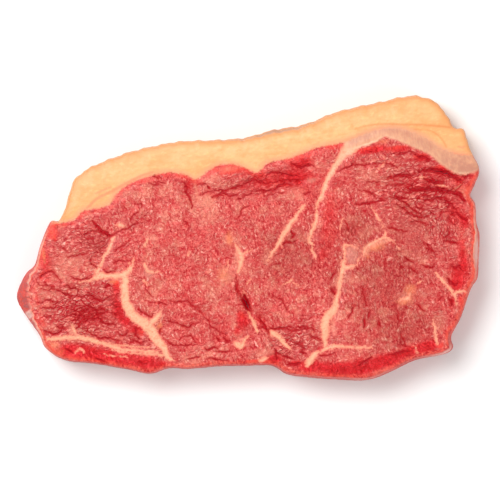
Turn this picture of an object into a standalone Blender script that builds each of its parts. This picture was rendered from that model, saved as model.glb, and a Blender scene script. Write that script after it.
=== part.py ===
# Raw sirloin steak: a slice cut across the loin, lying flat. The lean and the cap of back fat
# are two solids that meet along the seam between them, both through the whole thickness.
# +X runs along the slice, +Y towards the fat, +Z up. The origin is under the middle, on the table.

import math

import bmesh
import bpy
import numpy as np
from mathutils import Vector
from mathutils.geometry import delaunay_2d_cdt

MM = 0.001

# Driving dimensions, metres
LENGTH = 175 * MM
WIDTH = 100 * MM
THICKNESS = 20 * MM
SEAM_GAP = 0.3 * MM          # clearance between the two solids
WALL_STEP = 3.2 * MM         # spacing of points round the wall and over the cut face
BASE_STEP = 12 * MM          # spacing of points over the flat underside
RIM_REACH = 11 * MM          # how far in from the wall the rim's shape is felt

# The girth seen from above, mm, clockwise from the tip of the tail
OUTLINE = [
    (-87.3, 0.5), (-86.3, 5.0), (-82.5, 10.2), (-78.8, 12.8), (-75.5, 19.5), (-70.5, 27.2),
    (-67.3, 27.2), (-63.8, 32.0), (-59.6, 40.2), (-54.5, 43.8), (-46.0, 46.0), (-34.0, 47.8),
    (-18.5, 48.1), (-5.0, 46.2), (5.0, 45.3), (15.0, 46.3), (27.0, 46.3), (40.0, 48.8),
    (56.0, 49.6), (68.0, 49.8), (75.5, 46.2), (79.0, 40.5), (80.5, 36.0), (84.2, 34.0),
    (85.2, 27.0), (87.3, 19.0), (84.5, 13.5), (82.4, 10.2), (83.6, 6.5), (82.9, 0.0),
    (83.2, -5.0), (81.5, -13.0), (79.8, -20.0), (76.5, -24.0), (71.5, -33.0), (66.7, -39.5),
    (66.5, -43.8), (63.0, -45.6), (52.0, -46.0), (43.0, -48.5), (34.0, -50.1), (24.0, -48.3),
    (12.0, -45.3), (5.0, -42.8), (0.0, -38.8), (-8.0, -37.4), (-18.0, -35.8), (-30.0, -34.7),
    (-37.0, -33.2), (-44.0, -34.0), (-52.0, -31.0), (-63.0, -27.0), (-74.0, -23.6),
    (-80.0, -18.2), (-81.5, -13.0), (-84.5, -6.5),
]

# Where the fat cap meets the lean, mm, from the tail to the blunt end; both ends run past the wall
SEAM = [
    (-72.5, 30.5), (-68.8, 27.3), (-62.0, 26.7), (-57.5, 29.2), (-52.0, 29.0), (-47.5, 30.0),
    (-43.0, 34.3), (-35.0, 37.0), (-26.0, 37.6), (-19.5, 36.0), (-15.2, 33.3), (-10.0, 35.7),
    (-5.0, 37.0), (1.0, 35.6), (7.0, 31.9), (11.5, 34.6), (20.0, 35.0), (30.0, 37.0),
    (40.0, 37.3), (52.0, 39.7), (60.0, 39.0), (68.0, 34.8), (75.0, 28.7), (80.5, 25.8),
    (90.0, 23.5),
]

# How far the cut face's rim lies inside the girth, mm, and where the wall stands out more:
# x, y, reach, extra
RIM_INSET = 1.3
FLARES = [
    (-87.0, 2.0, 9.0, 3.2),      # loose flap at the tail
    (81.5, -11.0, 11.0, 1.2),
    (67.0, -43.0, 4.0, 1.2),     # nub at the corner
    (35.0, -50.0, 30.0, 0.9),
    (15.0, 46.5, 16.0, 0.6),
]

# The wall from the cut face down: share of the height, share of the rim inset, rounding in mm
PROFILE = [
    (1.00, 1.0, 1.3), (0.965, 1.0, 0.4), (0.90, 1.0, 0.0), (0.70, 0.55, 0.0), (0.45, 0.12, 0.0),
    (0.27, 0.0, 0.0), (0.12, 0.0, 0.7), (0.03, 0.0, 1.7), (0.00, 0.0, 3.0),
]

# Broad relief of the cut face, mm: domes of muscle as x, y, reach along X, reach along Y, height
DOMES = [
    (-62.0, 6.0, 18.0, 15.0, 0.5), (-22.0, 8.0, 26.0, 20.0, 0.7), (0.0, -14.0, 22.0, 14.0, 0.4),
    (52.0, -14.0, 24.0, 20.0, 0.7), (64.0, 14.0, 14.0, 10.0, -0.5), (8.0, 26.0, 24.0, 5.0, -0.5),
    (30.0, 42.0, 45.0, 4.0, 0.3), (-60.0, -24.0, 22.0, 5.0, -0.4),
]

HIGHEST_DOME = max(dome[-1] for dome in DOMES)

# Valleys of the cut face along the muscle seams, mm: their width, depth and routes
VALLEYS = [
    (2.2, 0.5, [(-49, 18), (-56, 6), (-50, 3), (-49, -6), (-41, -17), (-35, -33)]),
    (2.0, 0.4, [(-80, -15), (-68, -18.5), (-52, -23), (-37, -31)]),
    (2.0, 0.5, [(40, 34), (32, 26), (25, 12), (22, 0)]),
    (2.0, 0.5, [(33.5, -2), (32, -9), (27, -21), (21, -34)]),
    (1.6, 0.8, [(-8, -6), (-5, -15), (1, -26), (9, -34)]),
    (1.8, 0.7, [(-9, 27), (5, 28.5), (22, 26.5)]),
    (1.8, 0.7, [(54, 22), (68, 20.5), (80, 16)]),
]
SEAM_VALLEY_WIDTH = 1.8      # mm, along the seam with the fat cap
SEAM_VALLEY_DEPTH = 0.6
RIM_DROP = 0.7               # mm, how far the cut face falls towards its rim
RIM_DROP_REACH = 4.0


def catmull_rom(points, closed, per_span=12):
    """Points of a smooth curve through the given ones."""
    pts = np.asarray(points, dtype=float)
    if closed:
        pts = np.vstack([pts[-1], pts, pts[0], pts[1]])
    else:
        pts = np.vstack([2 * pts[0] - pts[1], pts, 2 * pts[-1] - pts[-2]])
    t = np.linspace(0, 1, per_span, endpoint=False)[:, None]
    curve = []
    for a, b, c, d in zip(pts, pts[1:], pts[2:], pts[3:]):
        bend = 2 * a - 5 * b + 4 * c - d
        twist = -a + 3 * b - 3 * c + d
        curve.append(0.5 * (2 * b + (c - a) * t + bend * t**2 + twist * t**3))
    if not closed:
        curve.append(pts[-2][None])
    return np.vstack(curve)


def resample(curve, step, closed):
    """The same curve with its points at equal distances."""
    if closed:
        curve = np.vstack([curve, curve[:1]])
    run = np.concatenate([[0], np.cumsum(np.linalg.norm(np.diff(curve, axis=0), axis=1))])
    count = max(3, round(run[-1] / step))
    stops = np.linspace(0, run[-1], count + 1)
    if closed:
        stops = stops[:-1]
    return np.column_stack([np.interp(stops, run, curve[:, i]) for i in (0, 1)])


def to_size(points, low, high):
    """Outline millimetres to metres, so that the girth measures LENGTH by WIDTH about the origin."""
    middle = (low + high) / 2
    return (np.asarray(points) - middle) * np.array([LENGTH, WIDTH]) / (high - low)


def nearest(points, curve, closed):
    """Distance from each point to a polyline, and the side it lies on: + to the left of the run."""
    ends = np.roll(curve, -1, axis=0) if closed else curve[1:]
    starts = curve if closed else curve[:-1]
    run = ends - starts
    rel = points[:, None] - starts[None]
    along = np.clip((rel * run).sum(-1) / (run**2).sum(-1), 0, 1)
    off = rel - along[..., None] * run
    gap = np.linalg.norm(off, axis=-1)
    best = gap.argmin(axis=1)
    rows = np.arange(len(points))
    cross = run[best, 0] * rel[rows, best, 1] - run[best, 1] * rel[rows, best, 0]
    return gap[rows, best], np.sign(cross)


def inside(points, loop):
    """Whether each point lies inside a closed loop."""
    x, y = points[:, 0, None], points[:, 1, None]
    x0, y0 = loop[:, 0], loop[:, 1]
    x1, y1 = np.roll(x0, -1), np.roll(y0, -1)
    spans = (y0 > y) != (y1 > y)
    with np.errstate(divide="ignore", invalid="ignore"):
        hits = x < (x1 - x0) * (y - y0) / (y1 - y0) + x0
    return (spans & hits).sum(axis=1) % 2 == 1


def bump(points, x, y, reach_x, reach_y):
    """A round hill of height 1, its middle and reach in mm."""
    off_x = (points[:, 0] / MM - x) / reach_x
    off_y = (points[:, 1] / MM - y) / reach_y
    return np.exp(-(off_x**2) - off_y**2)


def valley(points, route, width):
    """A round-bottomed groove of depth 1 along a route, its width in mm."""
    gap, _ = nearest(points, route, closed=False)
    return np.exp(-((gap / (width * MM)) ** 2))


class Steak:
    """The form of the whole slice: its girth, its rim and the height of its cut face."""

    def __init__(self):
        girth = resample(catmull_rom(OUTLINE, closed=True), WALL_STEP / MM, closed=True)
        seam = resample(catmull_rom(SEAM, closed=False), WALL_STEP / MM, closed=False)
        low, high = girth.min(axis=0), girth.max(axis=0)
        self.girth = to_size(girth, low, high)
        self.seam = to_size(seam, low, high)
        self.inward = self.inward_normals()
        self.rim = np.full(len(self.girth), RIM_INSET * MM)
        for x, y, reach, extra in FLARES:
            self.rim += extra * MM * bump(self.girth, x, y, reach, reach)

    def inward_normals(self):
        """Unit vectors pointing into the clockwise girth, evened out over a few neighbours."""
        run = np.roll(self.girth, -1, axis=0) - np.roll(self.girth, 1, axis=0)
        normal = np.column_stack([run[:, 1], -run[:, 0]])
        normal /= np.linalg.norm(normal, axis=1)[:, None]
        even = sum(np.roll(normal, k, axis=0) * w for k, w in ((-2, 1), (-1, 2), (0, 3), (1, 2), (2, 1)))
        return even / np.linalg.norm(even, axis=1)[:, None]

    def seam_side(self, side):
        """The seam's line moved half the gap to one side."""
        run = np.gradient(self.seam, axis=0)
        normal = np.column_stack([-run[:, 1], run[:, 0]]) / np.linalg.norm(run, axis=1)[:, None]
        return self.seam + side * SEAM_GAP / 2 * normal

    def drawn_in(self, points, rim_share, rounding):
        """Points of the plan moved in from the girth, by less the further in they start."""
        gap = np.linalg.norm(points[:, None] - self.girth[None], axis=-1)
        weight = 1 / (gap + 1e-7) ** 4
        amount = self.rim * rim_share + rounding * MM
        move = (weight[..., None] * self.inward * amount[:, None]).sum(axis=1) / weight.sum(axis=1)[:, None]
        depth, _ = nearest(points, self.girth, closed=True)
        return points + move * (np.clip(1 - depth / RIM_REACH, 0, 1) ** 2)[:, None]

    def height(self, points):
        """Height of the cut face above the table."""
        relief = sum(h * bump(points, x, y, rx, ry) for x, y, rx, ry, h in DOMES)
        for width, depth, route in VALLEYS:
            relief -= depth * valley(points, catmull_rom(np.array(route) * MM, closed=False), width)
        relief -= SEAM_VALLEY_DEPTH * valley(points, self.seam, SEAM_VALLEY_WIDTH)
        gap, _ = nearest(points, self.girth, closed=True)
        relief -= RIM_DROP * np.exp(-gap / (RIM_DROP_REACH * MM))
        return THICKNESS + (relief - HIGHEST_DOME) * MM

    def place(self, points, level):
        """Points of the plan at one level of the wall's profile, in space."""
        share, rim_share, rounding = level
        moved = self.drawn_in(points, rim_share, rounding)
        return np.column_stack([moved, share * self.height(points)])


def grid_points(loop, step, clear):
    """Points of a triangular grid inside a loop, kept clear of its line."""
    low, high = loop.min(axis=0), loop.max(axis=0)
    rows = []
    for row, y in enumerate(np.arange(low[1], high[1], step * math.sqrt(3) / 2)):
        x = np.arange(low[0] + (row % 2) * step / 2, high[0], step)
        rows.append(np.column_stack([x, np.full(len(x), y)]))
    points = np.vstack(rows)
    gap, _ = nearest(points, loop, closed=True)
    return points[inside(points, loop) & (gap > clear)]


def plan(steak, step):
    """The slice seen from above, in triangles that keep to the girth and to both sides of the seam."""
    lines = [steak.girth, steak.seam_side(1), steak.seam_side(-1)]
    free = grid_points(steak.girth, step, 0.6 * WALL_STEP)
    gap, _ = nearest(free, steak.seam, closed=False)
    points = np.vstack(lines + [free[gap > 0.6 * WALL_STEP]])
    edges, first = [], 0
    for line, closed in zip(lines, (True, False, False)):
        last = first + len(line)
        edges += [(i, i + 1) for i in range(first, last - 1)]
        if closed:
            edges.append((last - 1, first))
        first = last
    flat = [Vector(p / MM) for p in points]
    corners, _, triangles, *_ = delaunay_2d_cdt(flat, edges, [], 0, 1e-5)
    return np.array([tuple(v) for v in corners]) * MM, np.array(triangles)


def region(steak, corners, triangles, side):
    """The triangles of one solid: side is 1 for the fat, -1 for the lean."""
    middle = corners[triangles].mean(axis=1)
    gap, left = nearest(middle, steak.seam, closed=False)
    return triangles[inside(middle, steak.girth) & (gap > SEAM_GAP / 2) & (left == side)]


def border(triangles):
    """Edges that only one triangle uses, in that triangle's direction."""
    edges = {tuple(t[[i, (i + 1) % 3]]) for t in triangles for i in range(3)}
    return [(a, b) for a, b in edges if (b, a) not in edges]


def build_solid(steak, name, side, finish):
    """One closed body: cut face, wall and flat underside."""
    top_corners, top = plan(steak, WALL_STEP)
    base_corners, base = plan(steak, BASE_STEP)
    top = region(steak, top_corners, top, side)
    base = region(steak, base_corners, base, side)
    levels = [steak.place(top_corners, level) for level in PROFILE]
    underside = steak.place(base_corners, PROFILE[-1])

    mesh = bmesh.new()
    cache = {}

    def vertex(place):
        key = tuple(np.round(place / MM, 3))
        if key not in cache:
            cache[key] = mesh.verts.new(place)
        return cache[key]

    def face(*places):
        corners = list(dict.fromkeys(vertex(p) for p in places))
        if len(corners) > 2:
            mesh.faces.new(corners)

    for a, b, c in top:
        face(levels[0][a], levels[0][b], levels[0][c])
    for a, b, c in base:
        face(underside[c], underside[b], underside[a])
    for a, b in sorted(border(top)):
        for upper, lower in zip(levels, levels[1:]):
            face(upper[b], upper[a], lower[a])
            face(upper[b], lower[a], lower[b])

    data = bpy.data.meshes.new(name)
    mesh.to_mesh(data)
    mesh.free()
    data.materials.append(finish)
    data.shade_smooth()
    data.set_sharp_from_angle(angle=math.radians(50))
    solid = bpy.data.objects.new(name, data)
    bpy.context.collection.objects.link(solid)
    return solid


def make_finish(name, colour, roughness):
    finish = bpy.data.materials.new(name)
    finish.use_nodes = True
    shader = finish.node_tree.nodes["Principled BSDF"]
    shader.inputs["Base Color"].default_value = (*colour, 1)
    shader.inputs["Roughness"].default_value = roughness
    shader.inputs["Metallic"].default_value = 0
    return finish


def main():
    for old in list(bpy.data.objects):
        bpy.data.objects.remove(old, do_unlink=True)
    steak = Steak()
    holder = bpy.data.objects.new("steak", None)
    bpy.context.collection.objects.link(holder)
    lean = build_solid(steak, "lean", -1, make_finish("raw_lean", (0.58, 0.085, 0.075), 0.35))
    fat = build_solid(steak, "fat_cap", 1, make_finish("raw_fat", (0.90, 0.55, 0.31), 0.40))
    for solid in (lean, fat):
        solid.parent = holder


main()
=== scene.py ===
import math

import bpy
import numpy as np
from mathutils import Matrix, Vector
from mathutils.geometry import delaunay_2d_cdt
from mathutils.kdtree import KDTree


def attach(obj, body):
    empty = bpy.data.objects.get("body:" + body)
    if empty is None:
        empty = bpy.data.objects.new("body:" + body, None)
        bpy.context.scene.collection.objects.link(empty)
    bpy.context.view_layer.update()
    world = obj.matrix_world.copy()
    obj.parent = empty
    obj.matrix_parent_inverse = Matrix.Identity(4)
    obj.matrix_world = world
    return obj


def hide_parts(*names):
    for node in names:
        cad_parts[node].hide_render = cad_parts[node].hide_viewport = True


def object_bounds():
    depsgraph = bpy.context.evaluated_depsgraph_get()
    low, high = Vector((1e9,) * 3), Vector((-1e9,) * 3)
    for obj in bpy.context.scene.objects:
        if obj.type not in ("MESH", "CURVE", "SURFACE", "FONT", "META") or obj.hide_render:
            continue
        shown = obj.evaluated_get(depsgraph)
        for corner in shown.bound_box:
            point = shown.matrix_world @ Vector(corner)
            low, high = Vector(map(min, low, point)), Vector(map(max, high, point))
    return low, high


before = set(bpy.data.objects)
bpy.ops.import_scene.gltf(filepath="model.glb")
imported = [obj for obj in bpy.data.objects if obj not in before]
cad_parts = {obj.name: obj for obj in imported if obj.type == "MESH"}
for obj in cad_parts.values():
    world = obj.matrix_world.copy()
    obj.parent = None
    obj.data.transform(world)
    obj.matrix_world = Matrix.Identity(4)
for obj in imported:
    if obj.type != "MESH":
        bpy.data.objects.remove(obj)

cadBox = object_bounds()        # the CAD model alone, before anything is added
mm = 0.001


# Maths on node sockets

class Wire:
    # one socket of a node tree, on which maths can be written
    def __init__(self, sheet, socket):
        self.sheet = sheet
        self.socket = socket

    def __add__(self, other):
        return self.sheet.maths("ADD", self, other)

    __radd__ = __add__

    def __sub__(self, other):
        return self.sheet.maths("SUBTRACT", self, other)

    def __rsub__(self, other):
        return self.sheet.maths("SUBTRACT", other, self)

    def __mul__(self, other):
        return self.sheet.maths("MULTIPLY", self, other)

    __rmul__ = __mul__

    def __abs__(self):
        return self.sheet.maths("ABSOLUTE", self)


class Sheet:
    # the nodes of one material or one Geometry Nodes group
    def __init__(self, tree):
        self.tree = tree

    def node(self, kind, settings=None, sockets=None, output=0):
        made = self.tree.nodes.new(kind)
        for name, value in (settings or {}).items():
            setattr(made, name, value)
        for key, value in (sockets or {}).items():
            if isinstance(value, Wire):
                self.tree.links.new(value.socket, made.inputs[key])
            else:
                made.inputs[key].default_value = value
        return Wire(self, made.outputs[output])

    def maths(self, operation, first, second=0.0):
        return self.node("ShaderNodeMath", {"operation": operation}, {0: first, 1: second})

    def vector(self, operation, first, second):
        return self.node("ShaderNodeVectorMath", {"operation": operation}, {0: first, 1: second})

    def smooth(self, value, low, high):        # 0 at low, 1 at high
        return self.node("ShaderNodeMapRange", {"interpolation_type": "SMOOTHSTEP"},
                         {"Value": value, "From Min": low, "From Max": high})

    def shade(self, share, first, second, kind="MIX"):
        return self.node("ShaderNodeMix", {"data_type": "RGBA", "blend_type": kind},
                         {0: share, 6: first, 7: second}, output=2)

    def noise(self, at, size, detail=2.0, rough=0.5, twist=0.0, output=0):        # size in mm
        return self.node("ShaderNodeTexNoise", None,
                         {"Vector": at, "Scale": 1 / size, "Detail": detail, "Roughness": rough,
                          "Distortion": twist}, output)


def hue(red, green, blue):        # a colour as a paint chart gives it, in Blender's linear values
    share = [c / 255 for c in (red, green, blue)]
    return tuple(c / 12.92 if c < 0.04045 else ((c + 0.055) / 1.055) ** 2.4 for c in share) + (1.0,)


# The slice's form. Distances are mm, x along the slice and y towards the fat

form = {
    # the girth seen from above, clockwise from the tip of the tail
    "girth": [
        -87.3, 0.5, -86.3, 5, -82.5, 10.2, -78.8, 12.8, -75.5, 19.5, -70.5, 27.2, -67.3, 27.2,
        -63.8, 32, -59.6, 40.2, -54.5, 43.8, -46, 46, -34, 47.8, -18.5, 48.1, -5, 46.2, 5, 45.3,
        15, 46.3, 27, 46.3, 40, 48.8, 56, 49.6, 68, 49.8, 75.5, 46.2, 79, 40.5, 80.5, 36, 84.2, 34,
        85.2, 27, 87.3, 19, 84.5, 13.5, 82.4, 10.2, 83.6, 6.5, 82.9, 0, 83.2, -5, 81.5, -13,
        79.8, -20, 76.5, -24, 71.5, -33, 66.7, -39.5, 66.5, -43.8, 63, -45.6, 52, -46, 43, -48.5,
        34, -50.1, 24, -48.3, 12, -45.3, 5, -42.8, 0, -38.8, -8, -37.4, -18, -35.8, -30, -34.7,
        -37, -33.2, -44, -34, -52, -31, -63, -27, -74, -23.6, -80, -18.2, -81.5, -13, -84.5, -6.5,
    ],
    # where the fat cap meets the lean; both ends run past the wall
    "seam": [
        -72.5, 30.5, -68.8, 27.3, -62, 26.7, -57.5, 29.2, -52, 29, -47.5, 30, -43, 34.3, -35, 37,
        -26, 37.6, -19.5, 36, -15.2, 33.3, -10, 35.7, -5, 37, 1, 35.6, 7, 31.9, 11.5, 34.6,
        20, 35, 30, 37, 40, 37.3, 52, 39.7, 60, 39, 68, 34.8, 75, 28.7, 80.5, 25.8, 90, 23.5,
    ],
    "fatStart": -67.6,        # the fat is all to the right of this
    "fatFrom": 31,            # above this the girth is trimmed fat, a little ragged
    "fatRagged": (0.45, 0.07),        # pace and amount
    "girthStep": 0.6,
    "coarseStep": 1.6,        # of the same girth where it is only measured to
    "postStep": 3.2,          # between the places that say how far the wall leans out
    "leanStep": 0.5,
    "fatStep": 0.4,
    "baseStep": 1.5,
    "markStep": 0.35,         # between points along a crease or a vein
    "clearance": 0.7,         # share of a step that the grid keeps from every line
    "veinRagged": 0.1,
    "creaseRagged": 0.14,
    "cleftBrink": 0.35,       # how far beyond its line a cleft begins
    "cleftShare": 0.55,       # how much of a cleft's depth is cut
    "rimInset": 0.5,          # how far the cut face's rim lies inside the girth
    "rimReach": 11,           # how far in the wall's lean is felt
    "reliefRoom": 0.015,      # left free above the face for the fine relief
    "wallFade": 0.12,         # share of the height over which the face's look gives way to the wall's
    "smoothFoot": 0.3,        # how far up from the table there is no relief
    "smoothSeam": 1.2,        # how far from the seam the relief fades
    "rimDrop": (0.7, 4),      # depth and reach
    # where the wall stands out more: x, y, reach, extra
    "flares": [(-87, 2, 9, 4), (84, -11, 8, 1.6), (67, -43, 4, 1.2), (35, -50, 30, 0.4),
               (17, 46.5, 13, 0.9)],
    # the wall from the cut face down: share of the height, share of the rim inset, rounding
    "wall": [(1, 1, 0.6), (0.965, 1, 0.15), (0.9, 0.9, 0), (0.7, 0.55, 0), (0.45, 0.12, 0),
             (0.27, 0, 0), (0.12, 0, 0.7), (0.03, 0, 1.7), (0, 0, 3)],
    # domes of muscle: x, y, reach along x, reach along y, height
    "domes": [(-62, 6, 18, 15, 0.5), (-22, 8, 26, 20, 0.7), (0, -14, 22, 14, 0.4),
              (52, -14, 24, 20, 0.7), (64, 14, 14, 10, -0.5), (8, 26, 24, 5, -0.5),
              (30, 42, 45, 4, 0.3), (-60, -24, 22, 5, -0.4)],
    # broad valleys along the muscle seams: reach, depth, route
    "valleys": [
        (2.2, 0.5, [-49, 18, -56, 6, -50, 3, -49, -6, -41, -17, -35, -33]),
        (2.0, 0.4, [-80, -15, -68, -18.5, -52, -23, -37, -31]),
        (2.0, 0.5, [40, 34, 32, 26, 25, 12, 22, 0]),
        (2.0, 0.5, [33.5, -2, 32, -9, 27, -21, 21, -34]),
        (1.6, 0.8, [-8, -6, -5, -15, 1, -26, 9, -34]),
        (1.8, 0.7, [-9, 27, 5, 28.5, 22, 26.5]),
        (1.8, 0.7, [54, 22, 68, 20.5, 80, 16]),
    ],
    "seamValley": (1.8, 0.6),        # reach and depth
}

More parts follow.
